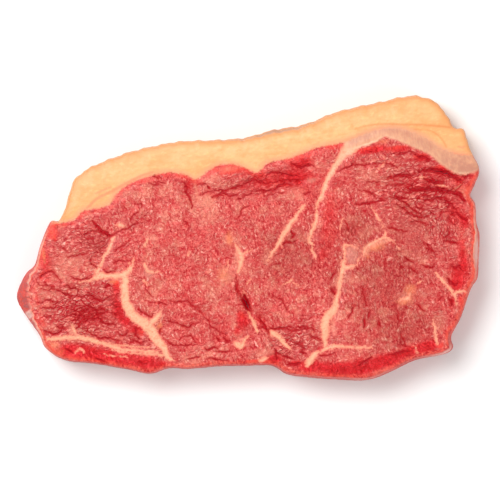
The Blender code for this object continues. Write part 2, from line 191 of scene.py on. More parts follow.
marks = {
    # seams of fat and gristle through the lean: x, y, half width
    "veins": [
        [-48.1, 17.6, 0.5, -48.7, 16.8, 0.9, -49.6, 15.6, 0.8, -51, 13.4, 0.7, -52.8, 11.4, 0.7, -54.9, 8.2,
         0.65, -56.4, 6.1, 0.7, -57.2, 4.6, 0.8],
        [-63.4, 3.6, 0.2, -60.3, 3.7, 0.45, -57.4, 4.3, 1, -55.3, 4.6, 1.3, -53.3, 4.2, 1.1, -51.2, 3.8, 1,
         -49.1, 3.3, 1.1, -47, 3.7, 1.1, -45.3, 4.4, 0.8, -44.5, 5.7, 0.5, -44.4, 7.3, 0.25],
        [-46.8, 3.1, 1.1, -47.1, 0.3, 1.5, -47.8, -3.2, 1.6, -48.1, -6.7, 1.7, -47.2, -9.7, 1.8, -45.7,
         -12.5, 1.9, -43.3, -14.9, 1.9, -41.5, -17.2, 2, -40.5, -19.6, 1.9, -39.5, -21.9, 1.8, -38.2, -23.8,
         1.6, -37.3, -25.7, 1.4, -36.8, -27.8, 1, -35.9, -29.9, 0.4],
        [-41.3, -16.2, 1, -39.3, -14.9, 1.1, -37.8, -13.7, 0.9, -36.5, -12.5, 0.7, -35.7, -11.8, 0.25],
        [-78.8, -15.3, 0.6, -73.5, -15.4, 1, -68.4, -16, 0.9, -63.5, -17.8, 0.8, -58.6, -20.3, 0.75, -53.8,
         -22.7, 0.75, -48.9, -24.4, 0.65, -43.8, -25.5, 0.65, -39.8, -26.7, 0.6],
        [-68.2, -15.2, 0.3, -61.9, -17.9, 0.4, -55.6, -20.8, 0.4, -48.6, -22.8, 0.35, -42.5, -24.2, 0.3],
        [-56, -23.1, 0.2, -50.1, -25.2, 0.35, -44, -26.5, 0.45, -39, -28, 0.6, -36.2, -30, 0.7, -34.4,
         -31.5, 0.5],
        [-69, -10.8, 0.35, -68.5, -12.5, 0.6, -68.1, -14.4, 0.5],
        [-69.5, -22.3, 0.2, -68.2, -20.9, 0.3, -66.7, -21.2, 0.3, -66.6, -22.5, 0.2],
        [-59.3, -24.1, 0.2, -57.4, -25.2, 0.3, -54.3, -25.8, 0.35, -51.4, -26.7, 0.2],
        [-5.3, 8, 0.25, -4.9, 6.1, 0.6, -4.3, 4.4, 0.7, -3.8, 2.8, 0.8, -4.3, 0.8, 0.8, -5.1, -1.2, 0.7, -6,
         -2.9, 0.3],
        [-4, 3.4, 0.5, -2.8, 3.6, 0.4, -1.2, 4, 0.35, 0.5, 4.7, 0.15],
        [-8.8, 2.3, 0.2, -9.2, 0.3, 0.4, -9.7, -1.3, 0.4],
        [22.1, 17.3, 0.4, 21.4, 16.5, 0.8, 19.7, 15.1, 0.8, 18, 13.3, 0.7, 15.9, 11.6, 0.9, 14.3, 9.8, 0.9,
         12.2, 7.4, 1, 10.3, 4.9, 0.9, 8.4, 3, 0.6, 6.8, 1.1, 0.4, 5.2, -0.4, 0.15],
        [11, 4.6, 0.4, 11.3, 3.4, 0.3],
        [42.2, 35.2, 2.6, 39.2, 33.2, 1.8, 36.6, 30.4, 1.1, 34.3, 28, 1.1, 32.2, 25.3, 0.9, 30.6, 22.8, 0.8,
         29.4, 20.2, 0.9, 27.6, 18.2, 0.9, 26.3, 15.7, 0.6, 25.7, 12.8, 0.6, 24.7, 9.8, 0.65, 22.6, 6.9,
         0.6, 21.5, 4.4, 0.6, 22.2, 2.3, 0.5, 21.9, -0.2, 0.55, 22.5, -2, 0.5, 22.9, -3.3, 0.25],
        [32.6, -5.4, 0.7, 32, -7.4, 1.2, 30.6, -10.5, 0.9, 29.7, -13.4, 0.8, 28.7, -16.3, 0.8, 27.6, -18.8,
         0.9, 26.7, -20.9, 1.3, 24.9, -23, 1.5, 22.8, -24.9, 1.7, 21.9, -27.2, 1.6, 21.2, -30.1, 1.4, 20.7,
         -33, 1.1, 20.4, -35, 0.8],
        [32.7, -6.6, 0.6, 33.2, -3.1, 0.35, 33.6, -0.1, 0.35, 35.4, -0.1, 0.25, 37.4, -1.1, 0.15],
        [38.2, -5.5, 0.15, 36.8, -7.7, 0.4],
        [32.8, -8, 0.9, 34.2, -8, 0.8, 35.8, -7.9, 0.6],
        [39.5, -6.2, 0.1, 40.1, -3.9, 0.3, 41.4, -2.1, 0.45, 43.6, -0.9, 0.6, 46.2, -0.1, 0.7, 48.8, 0.2,
         0.6, 50.8, -1, 0.35, 52.2, -3, 0.2, 53.3, -4.8, 0.1],
        [49, 0.1, 0.5, 49, 1.7, 0.35, 49.1, 2.7, 0.15],
        [12.6, -41.5, 0.8, 13.4, -40.4, 1.3, 14.7, -38.7, 1.2, 16.3, -37.3, 0.9, 19.3, -36.4, 0.6, 21.8,
         -35.6, 0.7, 25.1, -35.9, 0.7, 28.4, -36.6, 0.6, 31, -37.3, 0.5, 34.3, -37.7, 0.5, 36.8, -38.3, 0.3,
         38, -39.2, 0.15],
        [9, -10.3, 0.15, 11, -9.6, 0.4, 12.8, -9, 0.5],
        [12.6, -9.3, 0.4, 13.6, -10.4, 0.35, 14.8, -12, 0.15],
        [-3.7, -8.1, 0.15, -2.9, -6.9, 0.3, -2, -6.1, 0.25],
        [64.7, -15.6, 0.3, 66.3, -18.4, 0.6, 68, -20.9, 0.7, 69.9, -24.3, 0.6, 70.5, -26, 0.45, 70.6, -28.8,
         0.2],
        [69.9, -24.6, 0.4, 73, -24, 0.5, 75.2, -24.8, 0.4],
        [60.7, -32.5, 0.3, 60.9, -35.1, 0.6, 60.9, -38, 0.65, 61.2, -41.8, 0.5],
        [52.4, -40.6, 0.1, 52.8, -42, 0.25, 53.3, -44.4, 0.15],
        [49.8, -23.4, 0.1, 51.4, -23, 0.4, 52.8, -23, 0.7, 54, -22, 0.5, 55, -20.5, 0.2],
        [-38.9, 6.4, 0.2, -38.7, 4.6, 0.4, -38.2, 3.2, 0.5, -36.4, 2.6, 0.3, -34.4, 2.3, 0.3, -33.4, 1.6,
         0.15],
        [-40, 0.4, 0.3, -39.8, -0.8, 0.4, -39.4, -2, 0.25],
        [-42.4, 8.5, 0.5, -43.2, 6.8, 0.4, -44.3, 4.5, 0.5],
        [-11.6, -28, 0.6, -10.6, -29.2, 1.5, -9.6, -29.6, 1.3, -8.6, -28.4, 0.7, -7.6, -27.3, 0.7, -6.4,
         -26.5, 0.35],
        [1.7, -26, 0.8, 2.4, -26.6, 1.15, 3.8, -28, 1.1, 5.3, -30.1, 0.9, 6.4, -32.2, 0.8, 8.2, -34.2,
         0.35],
        [53.6, 29.7, 0.15, 53.4, 27.6, 0.35, 52, 26.1, 0.5, 50.9, 25.7, 0.2],
        [45.8, 12, 0.15, 46.8, 9.4, 0.25, 48, 6.5, 0.25, 48.9, 4.3, 0.15],
        [34.8, 9.9, 0.12, 33.8, 8, 0.25, 33, 6, 0.15],
        [-4.8, -17.8, 0.3, -4.1, -20.3, 0.6, -3.3, -23, 0.65, -2.9, -25.6, 0.3],
        [-5.4, -9.8, 0.2, -5, -10.7, 0.35, -5.6, -11.6, 0.3, -6.3, -12.4, 0.15],
        [-3.8, -37.1, 0.7, -2.4, -36.5, 1.1, -1.3, -36.2, 0.6],
        [64.6, 20.3, 0.2, 66, 19.2, 0.45, 68, 18.2, 0.25],
        [70, 16.2, 0.15, 72.5, 15.4, 0.35, 74.5, 14.6, 0.15],
        [75.4, 12.6, 0.1, 78.2, 13.6, 0.35, 80.4, 14.6, 0.35, 82.6, 16.4, 0.15],
        [79.3, 18.6, 0.2, 81.4, 18.1, 0.35, 83.4, 18.2, 0.2],
        [-46.1, 22.1, 0.4, -45.1, 21.6, 0.8, -43.9, 21.1, 0.4],
        [-36.6, 14.8, 0.35, -37, 13.8, 0.6, -37.4, 12.8, 0.4],
        [-22.2, 8.2, 0.2, -22.4, 7.2, 0.4, -22.6, 6.2, 0.2],
        [-70.5, 27.3, 0.3, -69.4, 27.4, 0.7, -68, 27.3, 0.5],
        [57.5, -18.2, 0.15, 58.6, -17.8, 0.35, 59.7, -17.4, 0.15],
    ],
    # clefts between fibre bundles: half width, depth, route
    "creases": [
        (0.4, 0.8, [64.1, 11.7, 67.4, 10.8, 70.6, 11.4, 74.1, 10.1]),
        (0.45, 0.8, [72.2, 9.9, 74.9, 7.8, 76.4, 5.7]),
        (0.4, 0.8, [53.8, 14.7, 56.5, 12.7, 58.7, 11, 61.2, 7.8, 63.4, 6.1]),
        (0.3, 0.6, [68.6, 3.4, 70.8, 5.5, 73.3, 5.6, 75.5, 4]),
        (1.15, 3, [-5.2, -11.4, -5.4, -13.4, -4.7, -15.6, -4.1, -17.6]),
        (0.8, 1.6, [-6.4, -13.2, -5.2, -13.6, -4.4, -14.2]),
        (0.3, 0.6, [-7, -3.5, -7, -6, -7.1, -8.6, -6.4, -11.8]),
        (0.3, 0.6, [-1.1, -19.2, -0.6, -21.9, 0.4, -24.7, 1.6, -25.5]),
        (0.3, 0.6, [-2.5, -24.1, 2.2, -25.4, 6.7, -25.9, 9.5, -27.1, 12.9, -27.3]),
        (0.28, 0.5, [15.9, -29.8, 17.5, -31.4, 19.4, -32.5]),
        (0.3, 0.5, [2.1, -32.3, 2.2, -35.3, 2, -37.6]),
        (0.4, 0.5, [5.9, -39, 7.6, -40.1, 9.8, -40.5]),
        (0.5, 0.8, [29, -9.2, 27.9, -9.9, 26.8, -11.1]),
        (0.5, 0.8, [26.3, -14.2, 26.5, -15.4, 27.2, -16.7]),
        (0.7, 1, [-54.9, 24.8, -53, 21.7, -51.4, 20, -49.9, 18.6, -48.5, 18.4]),
        (0.3, 0.4, [-48.5, 18.4, -46.2, 19.4, -42, 20, -39.9, 21.1, -37.4, 20.9]),
        (0.3, 0.4, [-60.3, 20.7, -57.4, 20.7, -55.3, 21.1, -52.8, 20.5, -51, 19.4]),
        (0.28, 0.4, [-67.6, 17.3, -65.1, 15]),
        (0.28, 0.5, [-65.8, 13.4, -58.7, 13.4]),
        (0.32, 0.5, [-57.8, 11.5, -58, 10, -57.4, 8.8, -56.4, 7.8]),
        (0.32, 0.6, [-77.4, 8.8, -74.5, 9.4, -72.4, 9.2, -69.7, 4.4]),
        (0.3, 0.5, [-69.3, 3.4, -67.8, 3.2, -67, 1.9, -65.5, 2.1, -64.3, 0.2]),
        (0.34, 0.6, [-77.6, 4, -76.2, 3, -73.7, 2.8, -71.6, 2.1, -67.8, -0.6, -63.7, -1.6]),
        (0.25, 0.4, [-79.5, 6.9, -78.2, 5.2, -76.2, 4.8, -72.8, 3.4]),
        (0.28, 0.4, [-65.8, 6.1, -64.1, 4.8, -61.6, 4.4, -58.7, 4.6]),
        (0.6, 0.5, [-54.5, 0.2, -53.2, 0.6, -52.4, 0.2]),
        (0.28, 0.4, [-54.1, 6.7, -52.4, 5.2, -50.3, 5.5]),
        (0.35, 0.3, [-49.9, 8.6, -47.8, 8.8, -44.5, 8]),
        (0.3, 0.3, [-48.7, 12.3, -47.4, 13.4, -45.8, 13.8, -43.7, 15]),
        (0.38, 0.6, [-30.3, 37.3, -27.4, 35.7]),
        (0.28, 0.4, [-32.4, 35, -31.2, 34.2, -27.6, 33.2]),
        (0.28, 0.4, [-38.7, 28.2, -37, 28, -36.2, 27.3, -36.4, 26.5]),
        (0.32, 0.4, [-41.6, 22.3, -39.1, 24.8, -37.4, 25]),
        (0.5, 0.5, [-77.6, 8.2, -76.6, 9.4]),
        (0.42, 0.7, [-9.3, 28, -7.4, 28, -5.3, 27.5, -0.3, 28, 2.2, 28.4, 4.2, 29.2, 5.9, 29.2, 9.2, 27.5,
         11.8, 27.3]),
        (0.3, 0.4, [11.8, 27.3, 15.9, 27.3, 20.5, 26.7, 22.6, 26]),
        (0.5, 0.5, [-10.3, 25.7, -6.2, 26.7, -4.5, 25.2, -2.4, 25.2, -1.2, 24.8]),
        (0.45, 0.7, [4.2, 25.7, 9.7, 24.6, 12.2, 24.6, 14.2, 25.7, 16.3, 26.2, 19.2, 25.2]),
        (0.42, 0.7, [9.9, 30.2, 11.8, 30.7, 14.2, 30.5, 19.2, 28.6, 21.3, 28.2]),
        (0.5, 0.5, [19.7, 33.2, 21.3, 31.9, 23.4, 30.9, 25.9, 31.3, 28, 30.7]),
        (0.3, 0.4, [-2, 23.2, 2.6, 24.4, 3.8, 25.2]),
        (0.25, 0.4, [8, 23, 10.1, 22.8, 12.2, 23.2, 14.7, 23, 15.9, 22.5]),
        (0.28, 0.4, [3, 29.8, 5.5, 30.2, 9.7, 30.2]),
        (0.35, 0.5, [-14.9, 31.1, -13.2, 31.3, -12, 30.9]),
        (0.5, 0.5, [-11.6, 30, -10.5, 29]),
        (0.25, 0.3, [-14.9, 27.3, -11.2, 28, -9.3, 28]),
        (0.45, 0.4, [-19.5, 33.2, -19.1, 31.1, -19.3, 29, -18.2, 24.8, -18.7, 23.2]),
        (0.28, 0.4, [-30.3, 35, -26.2, 33.8]),
        (0.28, 0.4, [-22.4, 19.4, -20.5, 16.7, -21.6, 15.2]),
        (0.28, 0.3, [-2.8, 16.5, -1.2, 18.2, -0.8, 19.4, 2.6, 20.5]),
        (0.6, 0.6, [15.5, 8.6, 16.2, 7.1, 15.5, 6.1]),
        (0.38, 0.5, [11.8, 4.4, 13.4, 4.8, 15.1, 4.4, 17.2, 4.8]),
        (0.3, 0.4, [21.8, 21.1, 25.1, 21.3]),
        (0.34, 0.5, [35.5, 26.9, 42.2, 28.4, 46.3, 27.5, 48.8, 27.8, 50.9, 26.9]),
        (0.42, 0.6, [57.2, 30, 59.2, 29.4, 63.4, 29.6, 64.7, 29]),
        (0.6, 0.8, [64.7, 28.2, 69.7, 25.7]),
        (0.5, 1, [53.7, 21.7, 57.4, 21.5, 60.5, 21.2, 63.9, 21.1]),
        (0.95, 1.3, [65.3, 21.9, 69.3, 21.7, 72.8, 20.4, 75.6, 18.8, 77.8, 17.3, 79.8, 16]),
        (0.35, 0.6, [77.2, 18.6, 82.2, 17.1, 85.1, 16.7]),
        (0.85, 1.2, [66.3, 19.1, 68.6, 17.8, 70.9, 16.8, 73.4, 16.6]),
        (0.85, 1.3, [61.1, 15.8, 65, 15.2, 68.7, 14.7, 72.2, 13.7, 75.7, 12.2, 78.8, 10.3]),
        (0.48, 0.8, [40.1, 14.2, 42.2, 13.8, 51.8, 13.8]),
        (0.42, 0.7, [54.7, 14.4, 58, 13.2, 59.7, 13]),
        (0.32, 0.5, [63, 12.3, 66.3, 11.1]),
        (0.38, 0.6, [69.7, 11.1, 73.8, 9.4, 75.5, 9.4]),
        (0.8, 0.9, [75.9, 12.3, 78, 11.5, 80.6, 8.2]),
        (0.3, 0.5, [75.9, 13.5, 78.4, 13.2, 82.2, 16.3]),
        (0.5, 0.6, [80.9, 16.3, 83, 17.1, 84.8, 16.9]),
        (0.3, 0.6, [68, 24.8, 69.7, 25.2, 70.2, 24.8]),
        (0.3, 0.4, [42.2, 19, 45.9, 17.8, 48, 15.2]),
        (0.28, 0.5, [53, 19, 57.2, 18.2, 58.8, 18.6]),
        (0.3, 0.5, [58.4, 16.1, 59.7, 16.9, 60.9, 16.1, 61.8, 17.8]),
        (0.38, 0.6, [55.1, 11.9, 58.8, 7.8, 62.2, 5.7, 64.2, 5.2, 66.3, 5.7, 66.8, 6.9]),
        (0.3, 0.5, [62.2, 9, 65.1, 7.8]),
        (0.3, 0.5, [58.8, 4.4, 62.6, 3.6, 64.2, 2.5, 65.5, 2.3]),
        (0.28, 0.5, [72.6, 8.6, 73.4, 6.9, 73.9, 7.8]),
        (0.5, 0.8, [74.7, 5.2, 76.3, 4.4, 79.2, 1.5, 80.6, 1.9]),
        (0.34, 0.5, [72.2, 4, 73.4, 1.9, 74.7, 0.6]),
        (0.28, 0.4, [45.9, 21.5, 50.1, 20.7]),
        (0.3, 0.4, [35.5, 9, 36.3, 5.2]),
        (0.34, 0.4, [50.1, 4, 57.2, 1]),
        (0.25, 0.4, [51.3, 27.3, 54.7, 26.7, 55.9, 25.7, 58, 24.8]),
        (0.28, 0.5, [64.7, 11.9, 65.5, 13, 67.2, 12.3, 68, 11.3]),
        (0.3, 0.5, [78.4, 9.8, 80.6, 7.8]),
        (0.38, 0.6, [-80.1, -1.2, -77.8, -1.3, -76.5, -0.6, -75.3, -0.8, -74.1, -2, -72.2, -2.4]),
        (0.32, 0.5, [-80.1, -3.2, -72.4, -4.2]),
        (0.3, 0.5, [-79.1, -6.3, -77.4, -7, -75.1, -7]),
        (0.4, 0.7, [-63.7, -2.3, -61.4, -1.5, -59.5, -2.2, -58.2, -3.6, -56.6, -4.5, -53.2, -3.4]),
        (0.35, 0.6, [-70.1, -8, -68.2, -7.4, -66.2, -8.2, -64.9, -7.8]),
        (0.42, 0.7, [-67, -12.6, -62.8, -10.4, -60.3, -10.5, -58.2, -11.1, -57.4, -12.6, -53.2, -14]),
        (0.34, 0.6, [-58, -8.4, -57, -9.2, -55.8, -8.9, -54.1, -9.2, -52.4, -10.5]),
        (0.38, 0.6, [-64.3, -14, -59.7, -17.8, -57.4, -18, -53.2, -19.9]),
        (0.34, 0.6, [-57.8, -6.5, -56.6, -7.6, -56.2, -8.5]),
        (0.4, 0.5, [-79.9, -11.8, -75.3, -13.8, -73.2, -12.6, -70.8, -12.3]),
        (0.32, 0.5, [-53.2, -16.3, -52, -18, -50.3, -18.2, -49.1, -17.2]),
        (0.36, 0.6, [-46.8, -16.3, -45.7, -17, -46.8, -18.8, -44.9, -20.9]),
        (0.3, 0.5, [-49.1, -19.2, -47.8, -20.9, -46.6, -21.3, -44.9, -22.7]),
        (0.34, 0.5, [-44.1, -10.1, -39.9, -13.4, -39.1, -12.6]),
        (0.22, 0.4, [-41.2, -7, -39.1, -8.2, -34.9, -9.2, -33.7, -9.9]),
        (0.2, 0.3, [-40.1, -0.5, -39.9, -3, -39.1, -5.1, -37.8, -6.5]),
        (0.32, 0.5, [-37.8, -20.5, -37.8, -18.8, -36.6, -17.9]),
        (0.32, 0.5, [-35.8, -15.5, -31.6, -17, -28, -19.3]),
        (0.34, 0.5, [-36, -23, -33.7, -25.1, -32, -25.4]),
        (0.34, 0.5, [-64.9, -5.5, -63.2, -7, -61.6, -6.3, -60.3, -7.4]),
        (0.34, 0.5, [-68.7, -9.5, -67, -9.9, -65.3, -8.9, -63.2, -9.2]),
        (0.36, 0.5, [-61.2, -5.5, -59.9, -6.8, -59.1, -8.2, -58.7, -10.1]),
        (0.3, 0.4, [-74.5, -10.7, -73.2, -11.8, -72, -11.3]),
        (0.45, 0.4, [-72.8, -19.7, -70.3, -22]),
        (0.4, 0.4, [-62.8, -25.3, -61, -26.8, -59.5, -27.4]),
        (0.38, 0.5, [-47.4, -29, -46, -30.1, -44.5, -30.3]),
        (0.3, 0.4, [-32, -8.9, -29.5, -9.7, -25.8, -10.1, -24.5, -12.2, -22, -13, -22.4, -14.2]),
        (0.25, 0.4, [-22.2, -14.5, -19.9, -18, -19.1, -20.5, -17.4, -21.8, -16.2, -23.4, -14.1, -24.7]),
        (0.34, 0.5, [-32, -17, -30.3, -17.6, -29.1, -18.8, -27.4, -19.5, -25.8, -18.8, -23.2, -18.4]),
        (0.28, 0.4, [-31, -23.4, -29.9, -22.6, -27.8, -22.6, -26.6, -23.2, -25.5, -25.1]),
        (0.32, 0.5, [-32, -25.3, -29.5, -25.9, -25.1, -26.3]),
        (0.36, 0.5, [-17.8, -24.7, -17, -26.8]),
        (0.42, 0.5, [-15.3, -25.3, -13.7, -27.6, -13.2, -26.8]),
        (0.45, 0.5, [-22.8, -28.2, -22, -29, -19.5, -28.6, -18.2, -29.2]),
        (0.4, 0.5, [-29.5, -31.3, -25.3, -31.3]),
        (0.32, 0.4, [-22.8, -32.6, -21.2, -32.6, -17.8, -34.2, -15.3, -34.7]),
        (0.34, 0.4, [-19.5, -30.1, -13.2, -31.4]),
        (0.3, 0.3, [-7.8, -5.9, -7.4, -10.9]),
        (0.34, 0.5, [-1.2, -20.1, -0.8, -21.8, 0.9, -25.3]),
        (0.34, 0.5, [0.9, -25.3, 8, -25.7, 10.5, -26.3]),
        (0.38, 0.5, [-2, -23.8, -0.3, -24.3, 1.1, -25.5, 1.1, -27.2]),
        (0.32, 0.5, [9.7, -27.6, 16.3, -27.6, 17.6, -28.6]),
        (0.28, 0.4, [12.2, -26.3, 15.5, -26.8]),
        (0.3, 0.5, [15.9, -30.5, 18, -31.3, 19.3, -32.2]),
        (0.38, 0.5, [10.1, -32, 11.8, -33, 12.6, -34.3]),
        (0.38, 0.5, [10.9, -35.5, 12.6, -35.9, 13.5, -36.8]),
        (0.2, 0.3, [3.8, -13, 4.2, -13.8, 5.9, -14.2, 7.6, -15.5, 8.8, -18, 9.2, -19.7]),
        (0.38, 0.5, [4.2, -35.9, 6.3, -36.8, 8, -38]),
        (0.6, 0.4, [5.5, -39.7, 8, -40.1, 10.5, -39.9]),
        (0.45, 0.5, [2.2, -32.6, 2.6, -34.7, 3.9, -35.1]),
        (0.25, 0.4, [18, -38, 20.5, -38.4, 23.4, -38]),
        (0.42, 0.7, [69.7, -3.4, 71.8, -2.6, 72.2, -1.3]),
        (0.48, 0.7, [69.7, -4.7, 73, -5.7, 74.2, -6.8]),
        (0.5, 0.5, [62.6, -5.9, 64.2, -6.8, 65.5, -8.1]),
        (0.45, 0.5, [63, -4.2, 64.7, -5.6]),
        (0.33, 0.5, [52.2, -10.1, 53.8, -12.2]),
        (0.33, 0.5, [54.7, -8, 57.2, -10.6]),
        (0.3, 0.4, [55.9, -12.2, 58, -14.8]),
        (0.34, 0.5, [59.7, -11.8, 63.4, -13.4, 65.5, -11.8]),
        (0.45, 0.6, [70.5, -13.8, 72.2, -15.1, 73.8, -14.7, 74.7, -16.4]),
        (0.55, 0.7, [68.4, -18, 69.7, -20.1, 71.3, -21.3, 72.2, -21.3]),
        (0.55, 0.6, [68, -25.9, 69.2, -27.2, 68, -28.9]),
        (0.34, 0.5, [63.8, -25.7, 65.7, -24.7]),
        (0.32, 0.5, [55.9, -25.5, 57.2, -27.6, 58.5, -28.9]),
        (0.32, 0.5, [48.4, -25.1, 48.4, -29.7, 47.6, -33.1]),
        (0.28, 0.4, [37.2, -15.5, 38, -23.1]),
        (0.45, 0.5, [38.8, -25.1, 37.6, -27.7]),
        (0.45, 0.5, [36.3, -27.2, 35.7, -30.6]),
        (0.45, 0.5, [41.3, -28.8, 41.3, -31.4]),
        (0.28, 0.5, [48.4, -34.7, 48.4, -36.3, 49.8, -40.6]),
        (0.24, 0.4, [47.6, -38, 48.4, -39.7, 49.8, -41]),
        (0.32, 0.4, [32.6, -21.3, 33, -23, 30.5, -26.4]),
        (0.55, 0.5, [31.3, -44.2, 32.6, -44, 34.7, -42.6, 36.4, -42.2]),
        (0.45, 0.4, [42.6, -42.2, 44.7, -42.6, 47.6, -42.2, 50.2, -42.7]),
    ],
}


# Lines and distances

def pairs(numbers, columns=2):
    return np.array(numbers, dtype=float).reshape(-1, columns)


def smoothLine(points, closed=False, perSpan=12):        # a curve through every point
    pts = np.asarray(points, dtype=float)
    if closed:
        pts = np.vstack([pts[-1], pts, pts[0], pts[1]])
    else:
        pts = np.vstack([2 * pts[0] - pts[1], pts, 2 * pts[-1] - pts[-2]])
    t = np.linspace(0, 1, perSpan, endpoint=False)[:, None]
    curve = []
    for a, b, c, d in zip(pts, pts[1:], pts[2:], pts[3:]):
        bend = 2 * a - 5 * b + 4 * c - d
        twist = -a + 3 * b - 3 * c + d
        curve.append(0.5 * (2 * b + (c - a) * t + bend * t**2 + twist * t**3))
    if not closed:
        curve.append(pts[-2][None])
    return np.vstack(curve)


def evenLine(curve, step, closed=False):        # the same curve with its points at equal distances
    if closed:
        curve = np.vstack([curve, curve[:1]])
    run = np.concatenate([[0], np.cumsum(np.linalg.norm(np.diff(curve[:, :2], axis=0), axis=1))])
    stops = np.linspace(0, run[-1], max(2, round(run[-1] / step)) + 1)
    if closed:
        stops = stops[:-1]
    return np.column_stack([np.interp(stops, run, column) for column in curve.T])


def inBatches(points, width):        # so that no table of points against lines grows too big
    return np.array_split(points, max(1, len(points) * width // 2000000))


def nearest(points, curve, closed=False):
    # distance to a polyline, the side it is passed on (+ left) and the place along it
    starts = curve if closed else curve[:-1]
    run = (np.roll(curve, -1, axis=0) if closed else curve[1:]) - starts
    results = []
    for some in inBatches(points, len(starts)):
        rel = some[:, None] - starts[None]
        along = np.clip((rel * run).sum(-1) / (run**2).sum(-1), 0, 1)
        gap = np.linalg.norm(rel - along[..., None] * run, axis=-1)
        best = gap.argmin(axis=1)
        rows = np.arange(len(some))
        cross = run[best, 0] * rel[rows, best, 1] - run[best, 1] * rel[rows, best, 0]
        results.append(np.column_stack([gap[rows, best], np.sign(cross), best + along[rows, best]]))
    return np.vstack(results).T


def inside(points, loop):
    x0, y0 = loop.T
    x1, y1 = np.roll(loop, -1, axis=0).T
    results = []
    for some in inBatches(points, len(loop)):
        x, y = some[:, 0, None], some[:, 1, None]
        spans = (y0 > y) != (y1 > y)
        hits = x < (x1 - x0) * (y - y0) / np.where(y1 == y0, 1, y1 - y0) + x0
        results.append((spans & hits).sum(axis=1) % 2 == 1)
    return np.concatenate(results)


def hill(points, x, y, reachX, reachY):
    return np.exp(-((points[:, 0] - x) / reachX) ** 2 - ((points[:, 1] - y) / reachY) ** 2)


def wiggle(line, amount):        # no mark in meat runs quite smoothly
    x, y = line[:, 0], line[:, 1]
    aside = np.sin(1.9 * y + 0.7 * x + 1) + 0.6 * np.sin(3.7 * y - 1.3 * x + 2.2)
    up = np.sin(2.1 * x - 0.6 * y + 0.4) + 0.6 * np.sin(4.1 * x + 1.1 * y)
    moved = line.copy()
    moved[:, :2] += amount * np.column_stack([aside, up])
    return moved


def strokeDepth(points, strokes, reach):
    # how deep each point lies inside the nearest stroke, below 0 outside; a stroke is x, y, half width
    depth = np.full(len(points), -float(reach))
    for stroke in strokes:
        low, high = stroke[:, :2].min(axis=0) - reach - 2, stroke[:, :2].max(axis=0) + reach + 2
        near = np.flatnonzero(((points > low) & (points < high)).all(axis=1))
        if len(near):
            gap, _, along = nearest(points[near], stroke[:, :2])
            half = np.interp(along, np.arange(len(stroke)), stroke[:, 2])
            depth[near] = np.maximum(depth[near], half - gap)
    return depth


girth = evenLine(smoothLine(pairs(form["girth"]), closed=True), form["girthStep"], closed=True)
trimmed = girth[:, 1] > form["fatFrom"]
pace, amount = form["fatRagged"]
girth[trimmed] = wiggle(girth[trimmed] * pace, amount) / pace
coarseGirth = evenLine(girth, form["coarseStep"], closed=True)
seam = evenLine(smoothLine(pairs(form["seam"])), form["girthStep"])
low, high = girth.min(axis=0), girth.max(axis=0)
cadLow, cadHigh = np.array(cadBox[0]), np.array(cadBox[1])
thickness = (cadHigh - cadLow)[2] / mm - form["reliefRoom"]


def markLine(points, ragged):
    return wiggle(evenLine(smoothLine(points, perSpan=6), form["markStep"]), ragged)


veins = [markLine(pairs(vein, 3), form["veinRagged"]) for vein in marks["veins"]]
creases = []
for half, depth, route in marks["creases"]:
    line = markLine(pairs(route), form["creaseRagged"])
    swell = np.sin(np.linspace(0.25, math.pi - 0.25, len(line))) ** 0.6        # thins out at both ends
    creases.append((np.column_stack([line, half * swell]), depth))


def toMetres(plan, height):
    spread = (cadHigh - cadLow)[:2] / (high - low)
    flat = (plan - (low + high) / 2) * spread + (cadLow + cadHigh)[:2] / 2
    return np.column_stack([flat, height * mm])


def inwardNormals(loop):        # of a clockwise loop
    run = np.roll(loop, -1, axis=0) - np.roll(loop, 1, axis=0)
    normal = np.column_stack([run[:, 1], -run[:, 0]])
    even = sum(np.roll(normal, k, axis=0) * w for k, w in ((-2, 1), (-1, 2), (0, 3), (1, 2), (2, 1)))
    return even / np.linalg.norm(even, axis=1)[:, None]


wallPosts = evenLine(girth, form["postStep"], closed=True)
wallInward = inwardNormals(wallPosts)
wallInset = np.full(len(wallPosts), form["rimInset"])
for x, y, reach, extra in form["flares"]:
    wallInset += extra * hill(wallPosts, x, y, reach, reach)


def drawnIn(points, rimShare, rounding):        # moved in from the girth, less the further in they are
    depth = nearest(points, coarseGirth, closed=True)[0]
    near = np.flatnonzero(depth < form["rimReach"])
    gap = np.linalg.norm(points[near][:, None] - wallPosts[None], axis=-1)
    weight = 1 / (gap + 1e-4) ** 4
    amount = wallInset * rimShare + rounding
    move = (weight[..., None] * wallInward * amount[:, None]).sum(axis=1) / weight.sum(axis=1)[:, None]
    moved = points.copy()
    moved[near] += move * ((1 - depth[near] / form["rimReach"]) ** 2)[:, None]
    return moved


def faceHeight(points):        # of the cut face above the table
    relief = sum(h * hill(points, x, y, rx, ry) for x, y, rx, ry, h in form["domes"])
    for reach, depth, route in form["valleys"]:
        relief -= depth * np.exp(-((nearest(points, smoothLine(pairs(route)))[0] / reach) ** 2))
    reach, depth = form["seamValley"]
    relief -= depth * np.exp(-((nearest(points, seam)[0] / reach) ** 2))
    depth, reach = form["rimDrop"]
    relief -= depth * np.exp(-nearest(points, coarseGirth, closed=True)[0] / reach)
    highest = max(dome[-1] for dome in form["domes"])
    return thickness + relief - highest


def cleftDepth(points):        # how far the clefts cut below the face
    cut = np.zeros(len(points))
    brink = form["cleftBrink"]
    for stroke, depth in creases:
        within = strokeDepth(points, [stroke], brink + 0.05) + brink
        share = np.clip(within / (stroke[:, 2].max() + brink), 0, 1) ** 1.2
        cut = np.maximum(cut, form["cleftShare"] * depth * share)
    return cut


# The slice seen from above, in triangles that keep to its girth, its seam and its marks

